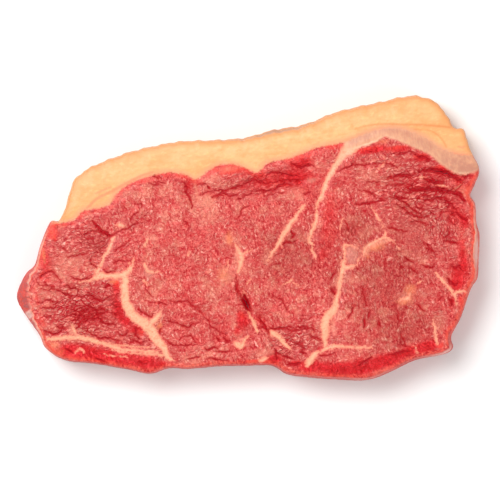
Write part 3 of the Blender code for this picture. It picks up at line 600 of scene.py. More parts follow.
def gridPoints(step, side, clearOf):
    rows = []
    for row, y in enumerate(np.arange(low[1], high[1], step * math.sqrt(3) / 2)):
        x = np.arange(low[0] + row % 2 * step / 2, high[0], step)
        rows.append(np.column_stack([x, np.full(len(x), y)]))
    points = np.vstack(rows)
    points = points[inside(points, coarseGirth)]
    if side:
        points = points[nearest(points, seam)[1] == side]
    return points[[clearOf(p)[1] > form["clearance"] * step for p in points]]


def lookUp(points):        # the number of the point nearest to a place, and its distance
    sorter = KDTree(len(points))
    for i, (x, y) in enumerate(points):
        sorter.insert((x, y, 0), i)
    sorter.balance()
    return lambda place: sorter.find((place[0], place[1], 0))[1:]


def plan(fine):
    lines = [girth, seam]
    extra = []
    if fine:
        toLine = lookUp(np.vstack(lines))
        along = np.vstack([v[:, :2] for v in veins] + [c[:, :2] for c, _ in creases])
        along = along[inside(along, coarseGirth)]
        extra.append(along[[toLine(p)[1] > form["markStep"] for p in along]])
    clearOf = lookUp(np.vstack(lines + extra))
    if fine:
        extra += [gridPoints(form["leanStep"], -1, clearOf), gridPoints(form["fatStep"], 1, clearOf)]
    else:
        extra.append(gridPoints(form["baseStep"], 0, clearOf))
    count = len(girth)
    edges = [(i, (i + 1) % count) for i in range(count)]
    edges += [(i, i + 1) for i in range(count, count + len(seam) - 1)]
    flat = [Vector(p) for p in np.vstack(lines + extra)]
    corners, _, faces, *_ = delaunay_2d_cdt(flat, edges, [], 0, 1e-4)
    corners, faces = np.array([tuple(c) for c in corners]), np.array(faces)
    middle = corners[faces].mean(axis=1)
    within = inside(middle, girth)
    side = nearest(middle[within], seam)[1]
    side[middle[within][:, 0] < form["fatStart"]] = -1
    return corners, faces[within], side


def borderLoop(faces):        # the corners round a region's edge, in order, the region on the left
    edges = np.vstack([faces[:, [0, 1]], faces[:, [1, 2]], faces[:, [2, 0]]])
    there = {tuple(e) for e in edges}
    onward = {a: b for a, b in there if (b, a) not in there}
    loop = [min(onward)]
    while onward[loop[-1]] != loop[0]:
        loop.append(onward[loop[-1]])
    return np.array(loop)


# What the shaders know about each point: distances to the marks and how each patch is toned

patches = {
    # x, y, reach along x, reach along y, amount
    "red": [
        (-70, 23, 2, 3.5, 0.6), (-75, 13, 2.5, 7, 0.8), (-77.5, 8.5, 1, 1, 0.5), (-72, -20.5, 4, 2.5, 1),
        (-67, -22.3, 5, 2.8, 1.1), (-60, -25, 5, 2.8, 1.1), (-52, -27.5, 5, 2.6, 1.1),
        (-45, -30, 4, 2.4, 1.1), (-40, -32, 3, 1.5, 0.8), (-7.6, -20, 1.8, 3, 1), (-10, -24, 1.6, 2.2, 0.6),
        (0.5, -37, 1.5, 1.2, 1), (8, -39.5, 3, 1, 0.7), (-3, -40, 5, 2, 0.7), (1, -37, 4, 2, 0.8),
        (14, -42, 5, 2.6, 1), (23, -45, 6, 3.2, 1), (33, -45.5, 7, 3.6, 0.9), (43, -44.5, 6, 2.8, 0.9),
        (52, -42.5, 5, 2.4, 0.8), (58, -42, 3, 2.5, 1), (72, -16, 3, 3, 0.5), (72, -21, 2.5, 3, 1),
        (69, -27, 1.5, 2, 0.6), (79, 1, 2, 3, 0.7), (-18, 32, 1.5, 3, 0.6), (24, 33, 4, 2, 0.7),
        (-50.6, -0.5, 1.5, 2.4, 0.8), (-51.3, -5, 1.4, 3, 0.4), (-51, -9.5, 1.8, 3, 0.9),
        (-49, -13.5, 2, 2, 0.8), (-46, -17, 2.6, 1.8, 0.9), (32, 20, 4, 7, 0.3), (30, 12, 4, 6, 0.42),
        (28, 4, 4, 5, 0.42), (25, -2, 3, 3, 0.5), (22, 25, 5, 5, 0.3), (-2, -22, 4, 3, 0.4),
        (80, 15, 4, 3, 0.5), (50, 32.5, 6, 1.2, 1), (60, 31, 4, 1.2, 0.8), (67, 26.5, 4, 1.4, 0.8),
        (74, 21, 4, 1.5, 0.8), (14, 28, 16, 4, 0.6), (0, 35, 7, 1.8, 0.7), (10, -3, 6, 5, 0.2),
        (38, 5, 5, 4, 0.2), (64, 17, 14, 6, 0.35), (75, 5, 4, 5, 0.5), (76, -12, 2.5, 9, 0.7),
        (-62, -9, 9, 5, 0.5),
    ],
    "dark": [
        (-65, -6.5, 5, 2.5, 0.6), (-59, -10, 5, 3, 0.3), (-52, -7, 2, 5, 0.7), (-55, 16.5, 5, 4, 0.85),
        (27, -15, 1.5, 1.8, 0.8), (29, -9, 1, 1.2, 0.7), (16, 8, 2.5, 2.5, 0.5), (37, -28, 5, 3.5, 0.35),
        (65, -8, 3, 4, 0.35), (30, -45, 14, 3, 1), (50, -43, 8, 2, 0.8), (-55, -27, 14, 2, 0.3),
        # the patch at -5.2, -14 is painted shade down in the hole
        (38, 5.5, 4, 4, 0.8), (69, 16.5, 3, 1.5, 0.5), (-5.2, -14, 1, 2.4, 1), (-45, 8, 3, 2.5, 0.4),
        (-38, -20, 5, 4, 0.2),
    ],
    "pale": [
        (-12.5, 24.5, 3.5, 3.5, 0.8), (-10, -3.5, 3.5, 4.5, 0.6), (52.5, -22.5, 5.5, 3.2, 0.6),
        (-9.5, -28.5, 3, 2.5, 0.6), (12, 17, 3, 3, 0.4), (20, 22, 4, 3, 0.5), (-2, -34, 5, 2.5, 0.6),
        (34, -12.5, 4, 2.5, 0.5), (24.5, -28, 1.5, 5, 0.7), (-67, 1, 10, 2, 0.3), (-20, 5, 14, 12, 0.15),
        (-69, -13, 1.5, 2, 0.8), (-51, -19, 9, 2, 0.3), (-15.8, 29.5, 0.9, 4, 0.6), (-76, -2, 3, 6, 0.25),
        (10, -9, 12, 6, 0.15), (62, 5, 7, 3, 0.3), (-42, -4, 2, 6, 0.3), (-2, 35, 6, 1.6, 0.7),
        (40, 32.5, 2.5, 1.6, 0.9), (-67, 11, 10, 6, 0.5), (41, -3.5, 1.3, 2, 1), (43.5, -1.8, 2, 1.2, 1),
        (46.5, -0.9, 2, 1.1, 1), (49.3, -0.8, 1.5, 1, 0.8), (-4.5, 3, 1.6, 5, 0.8), (14, 9, 2, 4, 0.5),
        (35, 29, 3, 3, 0.4),
    ],
    "coarse": [
        (-64, -7, 14, 11, 0.9), (-58, 18, 14, 8, 0.5), (62, 16, 16, 10, 0.7), (70, 0, 10, 12, 0.5),
        (8, 29, 18, 5, 0.45), (55, 30, 12, 4, 0.4), (-40, -18, 8, 8, 0.4), (8, -32, 12, 7, 0.6),
    ],
    "brown": [
        (45, -15, 18, 20, 0.9), (12, 0, 12, 10, 1), (60, 2, 12, 10, 0.4), (38, 5.5, 6, 5, 0.7),
        (50, -34, 14, 8, 0.6), (-62, -9, 10, 5, 0.3), (-55, 15, 6, 5, 0.4),
    ],
    "flap": [(-86, 2, 5, 10, 1.2)],
    # where a painted highlight runs along the edge of the cut face
    "paleRim": [(-82, 0, 4, 16, 1), (-76, 20, 4, 9, 0.6), (83, -6, 3, 11, 0.8), (80, -24, 5, 12, 0.3)],
    "skin": [(17, 46.5, 13, 4, 1), (-40, 47, 10, 4, 0.3)],
    "coral": [
        (-7.3, -18.6, 1.2, 1.8, 0.7), (-70.4, 23.4, 1.9, 3.2, 1.2), (-77, 9, 1, 2.5, 0.6),
        (47, 33.4, 7, 0.9, 0.8), (58, 31.8, 5, 1, 0.8), (66, 27.6, 4, 1, 0.7), (73, 22.4, 4, 1, 0.7),
        (62.4, -43, 1.8, 1.4, 1), (72.6, -28, 1.2, 3, 0.8), (83.8, 19, 2.2, 4, 0.7),
        (-7, -36.6, 3.5, 0.9, 0.9), (-50.2, 0.8, 1.2, 1.5, 1), (-44.5, -18.6, 1.6, 1.2, 0.9),
        (-35, 35.8, 9, 0.9, 0.6), (-2.9, 34.6, 6, 2, 0.9), (-80.5, 2, 1.5, 8, 0.5), (-80, -9, 2, 3, 0.5),
        (8, 30.6, 4, 1, 0.5), (25, 34.6, 12, 1, 0.5), (77, -4, 2, 8, 0.4), (66, -38, 2.5, 3, 0.5),
    ],
    # pale membrane on the wall, partly a painted sheen
    "membrane": [
        (-85.2, -5.4, 1.3, 1.3, 1.3), (84, -12, 5, 6.5, 1), (63, -45, 8, 3, 0.6), (30, -50, 26, 3, 0.35),
    ],
    "amber": [
        (-37.6, -17.2, 1.4, 1.6, 1), (-51.5, 1.6, 2, 0.8, 0.9), (-38.1, -14.2, 1, 1.4, 0.6),
        (45, -2.6, 4.5, 1.8, 0.8), (54.2, 35, 3, 1.2, 0.7), (41.3, -5.5, 1, 1.6, 0.6),
        (-77, -17.5, 3, 2, 0.8), (-75.2, 16, 1, 3, 0.9), (-75.5, -21, 3, 1.5, 0.5), (82.5, 19.5, 3, 1, 0.6),
        (-7, 9.5, 1.5, 3, 0.9), (-11.5, -3, 3, 3.5, 0.6), (54.5, -20, 2.5, 2.5, 0.9),
        (51.5, -24, 3, 1.5, 0.8), (-70, 23.5, 2.5, 3, 0.35), (80, 12, 3, 3, 0.5),
    ],
    "deepFat": [
        (-57, 36, 12, 8, 0.8), (-35, 45, 14, 3, 0.5), (72, 36, 12, 4, 0.7), (78, 28, 8, 5, 0.7),
        (55, 47, 26, 3, 0.5),
    ],
    "greyed": [
        (35.6, -3.8, 2.2, 3.6, 1.3), (40.5, 33, 2, 1.6, 1), (26, 25.5, 2.5, 1.5, 0.7),
        (-38, 2.6, 2.2, 3.4, 0.9),
    ],
    "glow": [
        (83, 4, 5, 6, 1), (81, -10, 5, 10, 1), (77, -24, 5, 8, 0.8), (69, -38, 4, 5, 0.7),
        (82, 13, 6, 4, 0.8), (-79, -18, 5, 4, 0.6), (-16, 33.5, 3, 2.5, 0.8),
    ],
    # where the film's cream lower edge, partly a painted highlight, is strongest
    "cream": [(50, 34.5, 6, 2, 1), (80, 19, 4, 2, 0.3)],
    "grey": [(78, 22, 7, 5, 1), (68, 31, 6, 4, 0.5), (86, 18, 6, 5, 0.8)],
    "upright": [(46, -14, 17, 22, 1), (26, 2, 9, 26, 1), (48, -36, 16, 8, 0.8), (38, 12, 8, 10, 0.9)],
    "along": [
        (-63, 2, 19, 26, 1), (63, 18, 22, 12, 1), (12, -30, 14, 8, 0.8), (46, -14, 20, 26, 0.75),
        (26, 2, 8, 26, 0.8), (8, 29, 20, 6, 1), (-44, -22, 10, 8, 0.6),
    ],
}

layers = {
    # the grey silverskin under the fat: its lower edge, to be closed along the seam
    "filmEdge": [
        40, 34.5, 43, 34, 48, 34.5, 52, 35.5, 55, 36.5, 57, 35.5, 60, 34, 63, 32, 66, 30, 69, 28, 71, 26,
        73, 23.5, 76, 20.5, 79, 18.5, 82, 17.8, 84.5, 17.8, 88, 18.5,
    ],
    # thin lines in the fat: x, y, half width
    "strand": [
        [45, 41.4, 0.05, 50, 41.8, 0.1, 56, 41.2, 0.15, 62, 39.9, 0.2, 68, 38.7, 0.2, 74, 37.4, 0.25, 79.5,
         36.4, 0.3],
        [66, 37.3, 0.05, 71, 36.2, 0.1, 73.9, 34.3, 0.15, 75.6, 31.8, 0.15, 76.5, 29, 0.05],
    ],
    "blush": [
        [-56.2, 29.8, 0.2, -54.5, 30.9, 0.4, -52.4, 32.3, 0.4, -49.5, 33.4, 0.4, -45.3, 34.6, 0.4, -42,
         35.7, 0.4, -38.3, 36.9, 0.4, -34.5, 38, 0.3, -30.3, 38.6, 0.2],
        [-52, 34.4, 0.15, -49, 35.3, 0.2, -46, 36, 0.1],
        [78.4, 26.6, 0.1, 81.2, 25.4, 0.3, 84.4, 25.2, 0.1],
        [81, 28.6, 0.1, 82.6, 28, 0.2, 84.2, 28.3, 0.1],
    ],
}


# distances are told apart up to this many mm
farthest = {"seamSide": 20, "rimDepth": 12, "film": 4, "vein": 3, "cleft": 1.5, "strand": 2, "blush": 2}


def measure(corners):        # every field of the shaders at points of the plan
    gap, side, _ = nearest(corners, seam)
    fields = {"seamSide": gap * side, "rimDepth": nearest(corners, coarseGirth, closed=True)[0]}
    edge = smoothLine(pairs(layers["filmEdge"]))
    above = seam[(seam[:, 0] > edge[0, 0] - 1) & (seam[:, 0] < 90)]
    band = np.vstack([edge, above[::-1] + np.array([0, 2])])        # it runs on a little under the fat
    fields["film"] = nearest(corners, band, closed=True)[0] * np.where(inside(corners, band), 1, -1)
    for name, distance in fields.items():
        fields[name] = np.clip(distance, -farthest[name], farthest[name])
    strokes = {"vein": veins, "cleft": [stroke for stroke, _ in creases]}
    for name in ("strand", "blush"):
        strokes[name] = [evenLine(smoothLine(pairs(s, 3)), 0.5) for s in layers[name]]
    for name, lines in strokes.items():
        fields[name] = strokeDepth(corners, lines, farthest[name])
    for name, spots in patches.items():
        amount = sum(share * hill(corners, x, y, rx, ry) for x, y, rx, ry, share in spots)
        fields[name] = np.clip(amount, 0, 1)
    return fields


# One piece: its cut face, the wall round it and its flat underside

finePlan, fineFaces, fineSide = plan(fine=True)
basePlan, baseFaces, baseSide = plan(fine=False)
corners = np.vstack([finePlan, basePlan])
cornerFields = measure(corners)
faceTop = faceHeight(corners)
faceTop[:len(finePlan)] -= cleftDepth(finePlan)
wallRows = smoothLine(form["wall"], perSpan=3)
print("plan of the slice:", len(finePlan), "points,", len(fineFaces), "triangles")

unwrap = {"face": 178, "underShare": 0.7, "strips": 2, "stripHeight": 0.06, "stripFill": 0.94,
          "stripRun": 0.99, "margin": 0.002, "gap": 0.004}


def unwrapPlan(points, bottom, share):        # a flat view of the plan on the texture sheet
    return (points - np.array([low[0], bottom])) * share / unwrap["face"] + unwrap["gap"]


def buildPiece(name, side):
    top = fineFaces[fineSide == side]
    under = baseFaces[baseSide == side] + len(finePlan)
    ring = borderLoop(top)
    count, rows = len(ring), len(wallRows)
    used = np.unique(top)
    number = np.full(len(corners), -1)
    number[used] = np.arange(len(used))

    # a wall row is the ring again, drawn in and lowered; the last one is the underside's edge
    source = [used] + [ring] * (rows - 1)
    places = [toMetres(drawnIn(corners[used], *wallRows[0][1:]), faceTop[used])]
    for share, rimShare, rounding in wallRows[1:]:
        share = min(max(share, 0), 1)
        places.append(toMetres(drawnIn(corners[ring], rimShare, rounding), share * faceTop[ring]))
    wallNumber = [number[ring]] + [len(used) + row * count + np.arange(count) for row in range(rows - 1)]

    onRing = lookUp(corners[ring])
    inner = np.array([i for i in np.unique(under) if onRing(corners[i])[1] > 1e-3])
    number[inner] = len(used) + (rows - 1) * count + np.arange(len(inner))
    source.append(inner)
    _, rimShare, rounding = wallRows[-1]
    places.append(toMetres(drawnIn(corners[inner], rimShare, rounding), 0 * faceTop[inner]))
    for i in np.setdiff1d(np.unique(under), inner):
        number[i] = wallNumber[-1][onRing(corners[i])[0]]

    onward = np.roll(np.arange(count), -1)
    faces = number[top].tolist()
    for upper, lower in zip(wallNumber, wallNumber[1:]):
        faces += np.column_stack([upper[onward], upper, lower, lower[onward]]).tolist()
    faces += number[under][:, ::-1].tolist()
    mesh = bpy.data.meshes.new(name)
    mesh.from_pydata(np.vstack(places).tolist(), [], faces)

    # the fields, and how far down the wall each point is
    source = np.concatenate(source)
    fields = {key: values[source] for key, values in cornerFields.items()}
    wall = np.zeros(len(used))
    walls = [np.full(count, np.clip((1 - row[0]) / form["wallFade"], 0, 1)) for row in wallRows[1:]]
    fields["wall"] = np.concatenate([wall] + walls + [np.zeros(len(inner))])
    rough = np.where(np.vstack(places)[:, 2] > form["smoothFoot"] * mm, 1.0, 0.0)
    fields["relief"] = rough * np.clip(np.abs(fields["seamSide"]) / form["smoothSeam"], 0, 1)
    for key, values in fields.items():
        mesh.attributes.new(key, "FLOAT", "POINT").data.foreach_set("value", values.astype(np.float32))

    # flat views of the face and the underside, and the wall in strips along the bottom
    strip = np.arange(count) * unwrap["strips"] // count
    along = np.arange(count) * unwrap["strips"] / count - strip
    stripTop = unwrap["stripHeight"] * unwrap["strips"]
    bottom, upper = corners[ring][:, 1].min(), corners[ring][:, 1].max()
    underHeight = unwrap["underShare"] * (upper - bottom) / unwrap["face"]
    faceUv = unwrapPlan(corners, bottom, 1) + np.array([0, stripTop + underHeight + unwrap["gap"]])
    underUv = unwrapPlan(corners, bottom, unwrap["underShare"]) + np.array([0, stripTop])
    uv = [faceUv[top].reshape(-1, 2)]
    x = along * unwrap["stripRun"] + unwrap["margin"]
    wide = unwrap["stripRun"] / (count / unwrap["strips"])
    tall = unwrap["stripHeight"] * unwrap["stripFill"]
    for row in range(rows - 1):
        y0 = strip * unwrap["stripHeight"] + tall * (1 - row / (rows - 1)) + unwrap["margin"]
        y1 = y0 - tall / (rows - 1)
        quad = np.stack([np.column_stack([x + wide, y0]), np.column_stack([x, y0]),
                         np.column_stack([x, y1]), np.column_stack([x + wide, y1])], axis=1)
        uv.append(quad.reshape(-1, 2))
    uv.append(underUv[under[:, ::-1]].reshape(-1, 2))
    mesh.uv_layers.new(name="OFBake").data.foreach_set("uv", np.vstack(uv).ravel())

    # hard edges only where the hidden seam wall meets the faces and the outer wall
    ringPlace = np.full(len(source), -1)
    ringRow = np.full(len(source), -1)
    for row, numbers in enumerate(wallNumber):
        ringPlace[numbers] = np.arange(count)
        ringRow[numbers] = row
    onSeam = nearest(corners[ring], seam)[0] < 1e-3
    onGirth = nearest(corners[ring], girth, closed=True)[0] < 1e-3
    ends = np.zeros(len(mesh.edges) * 2, dtype=int)
    mesh.edges.foreach_get("vertices", ends)
    a, b = ends.reshape(-1, 2).T
    placeA, placeB = ringPlace[a], ringPlace[b]
    onWall = (placeA >= 0) & (placeB >= 0)
    level = onWall & onSeam[placeA] & onSeam[placeB] & (ringRow[a] == ringRow[b])
    level &= (ringRow[a] == 0) | (ringRow[a] == rows - 1)
    post = onWall & (placeA == placeB) & onSeam[placeA] & onGirth[placeA]
    mesh.shade_smooth()
    mesh.attributes.new("sharp_edge", "BOOLEAN", "EDGE").data.foreach_set("value", level | post)
    piece = bpy.data.objects.new(name, mesh)
    bpy.context.collection.objects.link(piece)
    print(name, "form:", len(mesh.vertices), "points,", len(mesh.polygons), "faces")
    return piece


# Raw meat and fat

paint = {
    "lean": hue(228, 103, 94), "crown": hue(251, 168, 152), "hollow": hue(190, 34, 43),
    # the deep colour is painted shade down in the widest clefts and the hole
    "line": hue(184, 4, 25), "cleft": hue(180, 0, 18), "deep": hue(108, 0, 10), "dull": hue(198, 104, 90),
    "glint": hue(255, 202, 190), "peach": hue(243, 152, 126), "amber": hue(246, 138, 92),
    "coral": hue(243, 60, 50), "greyPink": hue(220, 138, 120), "rim": hue(240, 84, 62),
    # a painted highlight along the edge of the cut face
    "rimPale": hue(255, 206, 180),
    "vein": hue(248, 179, 144), "veinSide": hue(244, 124, 104), "veinPink": hue(244, 152, 120),
    "film": hue(212, 143, 115), "filmPale": hue(230, 172, 134), "filmGrey": hue(186, 122, 104),
    # the film's cream lower edge, partly a painted highlight
    "cream": hue(250, 204, 168),
    "fat": hue(241, 185, 130), "fatPale": hue(249, 205, 144), "fatDeep": hue(236, 160, 100),
    "fatPink": hue(240, 160, 122), "rind": hue(222, 142, 92), "strand": hue(222, 138, 82),
    "blush": hue(240, 140, 104), "skin": hue(176, 130, 108),
    # the pale membrane on the wall is partly a painted sheen
    "wallRed": hue(200, 52, 50), "wallPink": hue(208, 98, 90), "membrane": hue(246, 190, 178),
    "flap": hue(220, 70, 58), "flapGrey": hue(172, 76, 76),
}

# washes laid over the colour below them
wash = {"flush": (0.99, 0.7, 0.74, 1), "shade": (0.8, 0.77, 0.75, 1), "brown": (0.8, 0.76, 0.72, 1),
        "red": (1, 0.14, 0.22, 1), "dark": (0.74, 0.1, 0.2, 1), "gash": (0.9, 0.3, 0.38, 1)}

lean = {"Subsurface Weight": 0.06, "Subsurface Radius": (1.0, 0.3, 0.2), "Subsurface Scale": 1.6 * mm,
        "Coat Roughness": 0.22}
fat = {"Subsurface Weight": 0.22, "Subsurface Radius": (1.0, 0.65, 0.4), "Subsurface Scale": 2.5 * mm,
       "Coat Roughness": 0.3}

grain = {
    "wander": 2.6, "calm": 0.6, "shaken": 1.3,        # mm the bundles stray
    "down": 0.15,             # they run on down through the slice
    "cells": 0.45,            # bundles to a mm
    "cellSize": 2.2,
    # how the grain and the cells are squeezed where the bundles lie along the slice, and across it
    "flat": ((0.6, 1.35, 1), (0.6, 1.3, 1)), "tall": ((1.35, 0.6, 1), (1.3, 0.6, 1)),
    "broad": 2.2, "narrow": 1.2, "thread": (0.05, 0.015),        # the two webs
}


def fibreGrain(sheet, at, upright, along, width):
    # bundles of fibres cut across: how high each place stands, two webs of thin lines, the lines
    # between bundles (half width in mm) and the brinks of those lines
    def stray(place, size, amount):
        aside = sheet.vector("SUBTRACT", sheet.noise(at, size, output=1), (0.5, 0.5, 0.5))
        return sheet.vector("ADD", place, sheet.vector("MULTIPLY", aside, (amount, amount, 0)))

    def web(place, shift, size, detail):
        line = abs(sheet.noise(sheet.vector("ADD", place, shift), size, detail, 0.5) - 0.5)
        return sheet.smooth(line, *grain["thread"])

    moved = stray(at, 3.2, grain["wander"])
    calm, shaken = [sheet.vector("MULTIPLY", stray(moved, 0.9, grain[kind]), (1, 1, grain["down"]))
                    for kind in ("calm", "shaken")]
    kinds = []
    for stretch, cells in (grain["flat"], grain["tall"]):
        laid = sheet.vector("MULTIPLY", shaken, stretch)
        side = sheet.node("ShaderNodeTexVoronoi", {"feature": "DISTANCE_TO_EDGE"},
                          {"Vector": sheet.vector("MULTIPLY", calm, cells), "Scale": grain["cells"]})
        side = side * grain["cellSize"]
        kinds.append((sheet.noise(laid, 1.0, 1.5, 0.6), web(laid, (31, 17, 5), grain["broad"], 2),
                      web(laid, (11, 47, 9), grain["narrow"], 1),
                      sheet.smooth(side, width + 0.1, width * 0.5),
                      sheet.smooth(side, width + 0.55, width + 0.1)))
    turn = (sheet.noise(at, 5, 2, 0.5) - 0.45) * 5 + 0.5
    upright = sheet.smooth(turn + (upright - turn) * sheet.smooth(along, 0.2, 0.6), 0.25, 0.75)
    return [flat + (tall - flat) * upright for flat, tall in zip(*kinds)]


def makeMaterial(name, finish):
    material = bpy.data.materials.new(name)
    material.use_nodes = True
    sheet = Sheet(material.node_tree)
    shader = material.node_tree.nodes["Principled BSDF"]
    at = sheet.vector("MULTIPLY", sheet.node("ShaderNodeTexCoord", output="Object"), (1000, 1000, 1000))

    def field(key):
        return sheet.node("ShaderNodeAttribute", {"attribute_name": key}, output="Fac")

    def patch(key, fringe, low, high):        # a field with a ragged edge
        return sheet.smooth(field(key) + ragged * fringe, low, high)

    def stretched(stretch, size, detail=2, rough=0.5):
        return sheet.noise(sheet.vector("MULTIPLY", at, stretch), size, detail, rough)

    def coats(ground, *covers):        # each is a share and the name of a paint or a wash
        for share, name in covers:
            if name in wash:
                ground = sheet.shade(share, ground, wash[name], "MULTIPLY")
            else:
                ground = sheet.shade(share, ground, paint[name])
        return ground

    coarse = field("coarse")
    wide = sheet.noise(at, 9, 3)
    medium = sheet.noise(sheet.vector("ADD", at, (13, 29, 0)), 2.6, 2, 0.55)
    ragged = sheet.noise(at, 1.3, 3, 0.6) - 0.5
    fray = sheet.noise(at, 0.55, 2, 0.6) - 0.5
    dark = patch("dark", 0.8, 0.1, 0.8)
    patchy = sheet.smooth(sheet.noise(at, 3.5, 2), 0.36, 0.6)
    width = 0.1 + (patchy * 0.09 + dark * 0.22) * coarse + fray * 0.25
    crown, broad, narrow, lines, brink = fibreGrain(sheet, at, field("upright"), field("along"), width)

    # lean: fine grain on a mottled ground, partly painted highlight and shade
    tone = (crown - 0.5) * (6.0 + 8.0 * coarse) + fray * 3.5 + (wide - 0.5) * 1.5
    dull = sheet.smooth(sheet.noise(sheet.vector("ADD", at, (40, 7, 0)), 6, 3, 0.6), 0.45, 0.68)
    colour = coats(paint["lean"], (dull * 0.6, "dull"),
                   # pale crowns and dark hollows: partly the grain's own tone, partly painted highlight on
                   # the raised bundles and painted shade between them
                   (sheet.smooth(tone, 0.1, 1.7), "crown"),
                   (sheet.smooth(tone, 0.2, -1.3), "hollow"),
                   (sheet.smooth(medium, 0.58, 0.36), "flush"),
                   (sheet.smooth(wide + (medium - 0.5) * 0.6, 0.5, 0.7) * 0.45, "peach"),
                   # painted fine shade in specks, and painted glints on the raised bundles
                   (sheet.smooth(fray, 0.02, -0.22) * 0.45, "shade"),
                   (sheet.smooth(fray + crown - 0.5, 0.14, 0.36) * (0.25 + 0.3 * coarse), "glint"))

    # dark lines between the bundles, broad where the grain is coarse, and their pale brinks, a painted
    # highlight on the ridges beside the lines
    share = sheet.smooth(0.4 * patchy + coarse, 0.1, 1)
    webLines = sheet.maths("MAXIMUM", broad * (0.5 + 0.4 * coarse), narrow * 0.4)
    lines = sheet.maths("MAXIMUM", lines * share, webLines)
    colour = coats(colour, (brink * share * 0.35, "crown"), (lines, "line"))

    # each muscle's own tone, its patches and its rim
    glow = field("glow")
    rimShare = patch("rimDepth", 2.5, 1.9 + glow * 0.7, 0.5 + glow * 0.5)
    colour = coats(colour, (patch("brown", 0.3, 0, 1), "brown"),
                   (patch("red", 0.5, 0.05, 0.75), "red"),
                   (dark * 0.45, "dark"),
                   (patch("coral", 0.9, 0.15, 0.9) * (0.75 + (crown - 0.5) * 1.5), "coral"),
                   (patch("pale", 0.5, 0.1, 1) * 0.75, "peach"),
                   (patch("greyed", 0.6, 0.2, 0.8) * 0.6, "greyPink"),
                   (patch("amber", 0.8, 0.1, 1.1) * 0.65, "amber"),
                   (rimShare * (0.4 + 0.25 * glow + (crown - 0.5) * 1.8), "rim"))

    # marbling, with a soft pink side and a frayed edge
    vein = field("vein") + ragged * 1.8 + fray * 1.2 + (medium - 0.5) * 1.2
    veinShare = sheet.smooth(vein, -0.35, 0.95)
    veinTone = sheet.smooth(ragged + fray + crown - 0.5, -0.15, 0.4)
    colour = coats(colour, (sheet.smooth(vein, -0.5, 0.3) * 0.6, "veinSide"))
    colour = sheet.shade(veinShare, colour, coats(paint["vein"], (veinTone, "veinPink")))

    # clefts: a red brink, a dark side and a black-red depth that is painted shade. The lean reddens where
    # it meets the fat
    gash = field("cleft") + ragged * 0.6 + fray * 0.4
    cleft = sheet.smooth(gash, -0.2, 0.4)
    seamShare = patch("seamSide", 2, -3, -0.4) * sheet.smooth(medium, 0.32, 0.6) * 0.6
    colour = coats(colour, (sheet.smooth(gash, -0.8, 0.1) * 0.6, "gash"), (cleft, "cleft"),
                   (sheet.smooth(gash, 0.65, 0.95), "deep"), (seamShare, "coral"))

    # silverskin, striped across, with a cream lower edge that is partly a painted highlight
    filmShare = patch("film", 1.4, -0.6, 0.7)
    greyShare = sheet.maths("MAXIMUM", field("grey") * 0.7, patch("film", 1.6, 0.8, 3.2) * 0.4)
    filmColour = coats(paint["film"], (sheet.smooth(stretched((1.7, 0.5, 0.3), 1.1), 0.1, 0.9), "filmPale"),
                       (greyShare * sheet.smooth(medium, 0.28, 0.6), "filmGrey"),
                       (patch("film", 1.4, 1.3, 0.2) * (0.15 + field("cream")), "cream"))
    colour = sheet.shade(filmShare, colour, filmColour)

    # the wall is trimmed lean: fibres run down through the slice, with a torn membrane near the top that is
    # partly a painted sheen
    wall = field("wall")
    height = sheet.node("ShaderNodeSeparateXYZ", None, {"Vector": at}, "Z")
    blotches = stretched((0.6, 0.6, 1), 5, 3)
    torn = height + (blotches - 0.5) * 24
    wallTone = stretched((1, 1, 0.22), 1.4, 3, 0.65) * 0.7 + blotches * 0.5
    wallColour = coats(paint["wallRed"], (sheet.smooth(wallTone, 0.42, 0.78), "wallPink"))
    flapColour = coats(paint["flap"], (sheet.smooth(wallTone, 0.7, 0.48) * 0.8, "flapGrey"))
    wallColour = sheet.shade(field("flap"), wallColour, flapColour)
    sheen = patch("membrane", 0.5, 0.1, 0.7) * sheet.smooth(torn, 8, 15)
    glowShare = glow * (1 - sheen) * (0.2 + 0.5 * sheet.smooth(torn, 2, 14))
    wallColour = coats(wallColour, (sheen * 0.85, "membrane"), (glowShare, "rim"))
    # a painted highlight along the edge of the cut face, where it turns down into the wall
    rimHighlightLine = sheet.smooth(field("rimDepth"), 0.4, 0.1) * (1 - wall) * field("paleRim")
    colour = coats(sheet.shade(wall, colour, wallColour), (rimHighlightLine * 0.8, "rimPale"))

    # fat: lumps and specks, deeper towards its skin, with a few thin strands
    specks = stretched((0.8, 1.6, 1), 1.8, 3, 0.6)
    skin = sheet.smooth(torn, 4, 14) * field("skin")
    fatColour = coats(paint["fat"],
                      (sheet.smooth(stretched((0.7, 1.2, 1), 6, 4, 0.6), 0.4, 0.66) * 0.55, "fatDeep"),
                      (field("deepFat") * 0.6, "fatDeep"),
                      (sheet.smooth(specks, 0.52, 0.7) * 0.45, "fatDeep"),
                      (sheet.smooth(specks, 0.48, 0.3) * 0.4, "fatPale"),
                      (patch("rimDepth", 1.2, 3.2, 0.4) * 0.6, "fatDeep"),
                      (patch("rimDepth", 0.8, 1.3, 0.1) * 0.4, "rind"),
                      (patch("seamSide", 1, 2.2, 0) * 0.8, "fatPink"),
                      (sheet.smooth(field("strand") + fray * 0.5, -0.6, 0.3) * 0.7, "strand"),
                      (sheet.smooth(field("blush") + fray * 0.5, -0.5, 0.3) * 0.7, "blush"),
                      (wall * sheet.smooth(wallTone, 0.5, 0.75) * 0.4, "fatDeep"),
                      (wall * (0.1 + 0.6 * skin), "skin"))
    fatShare = sheet.smooth(field("seamSide") + ragged * 1.4 + fray * 0.5, -0.6, 0.45)
    colour = sheet.shade(fatShare, colour, fatColour)

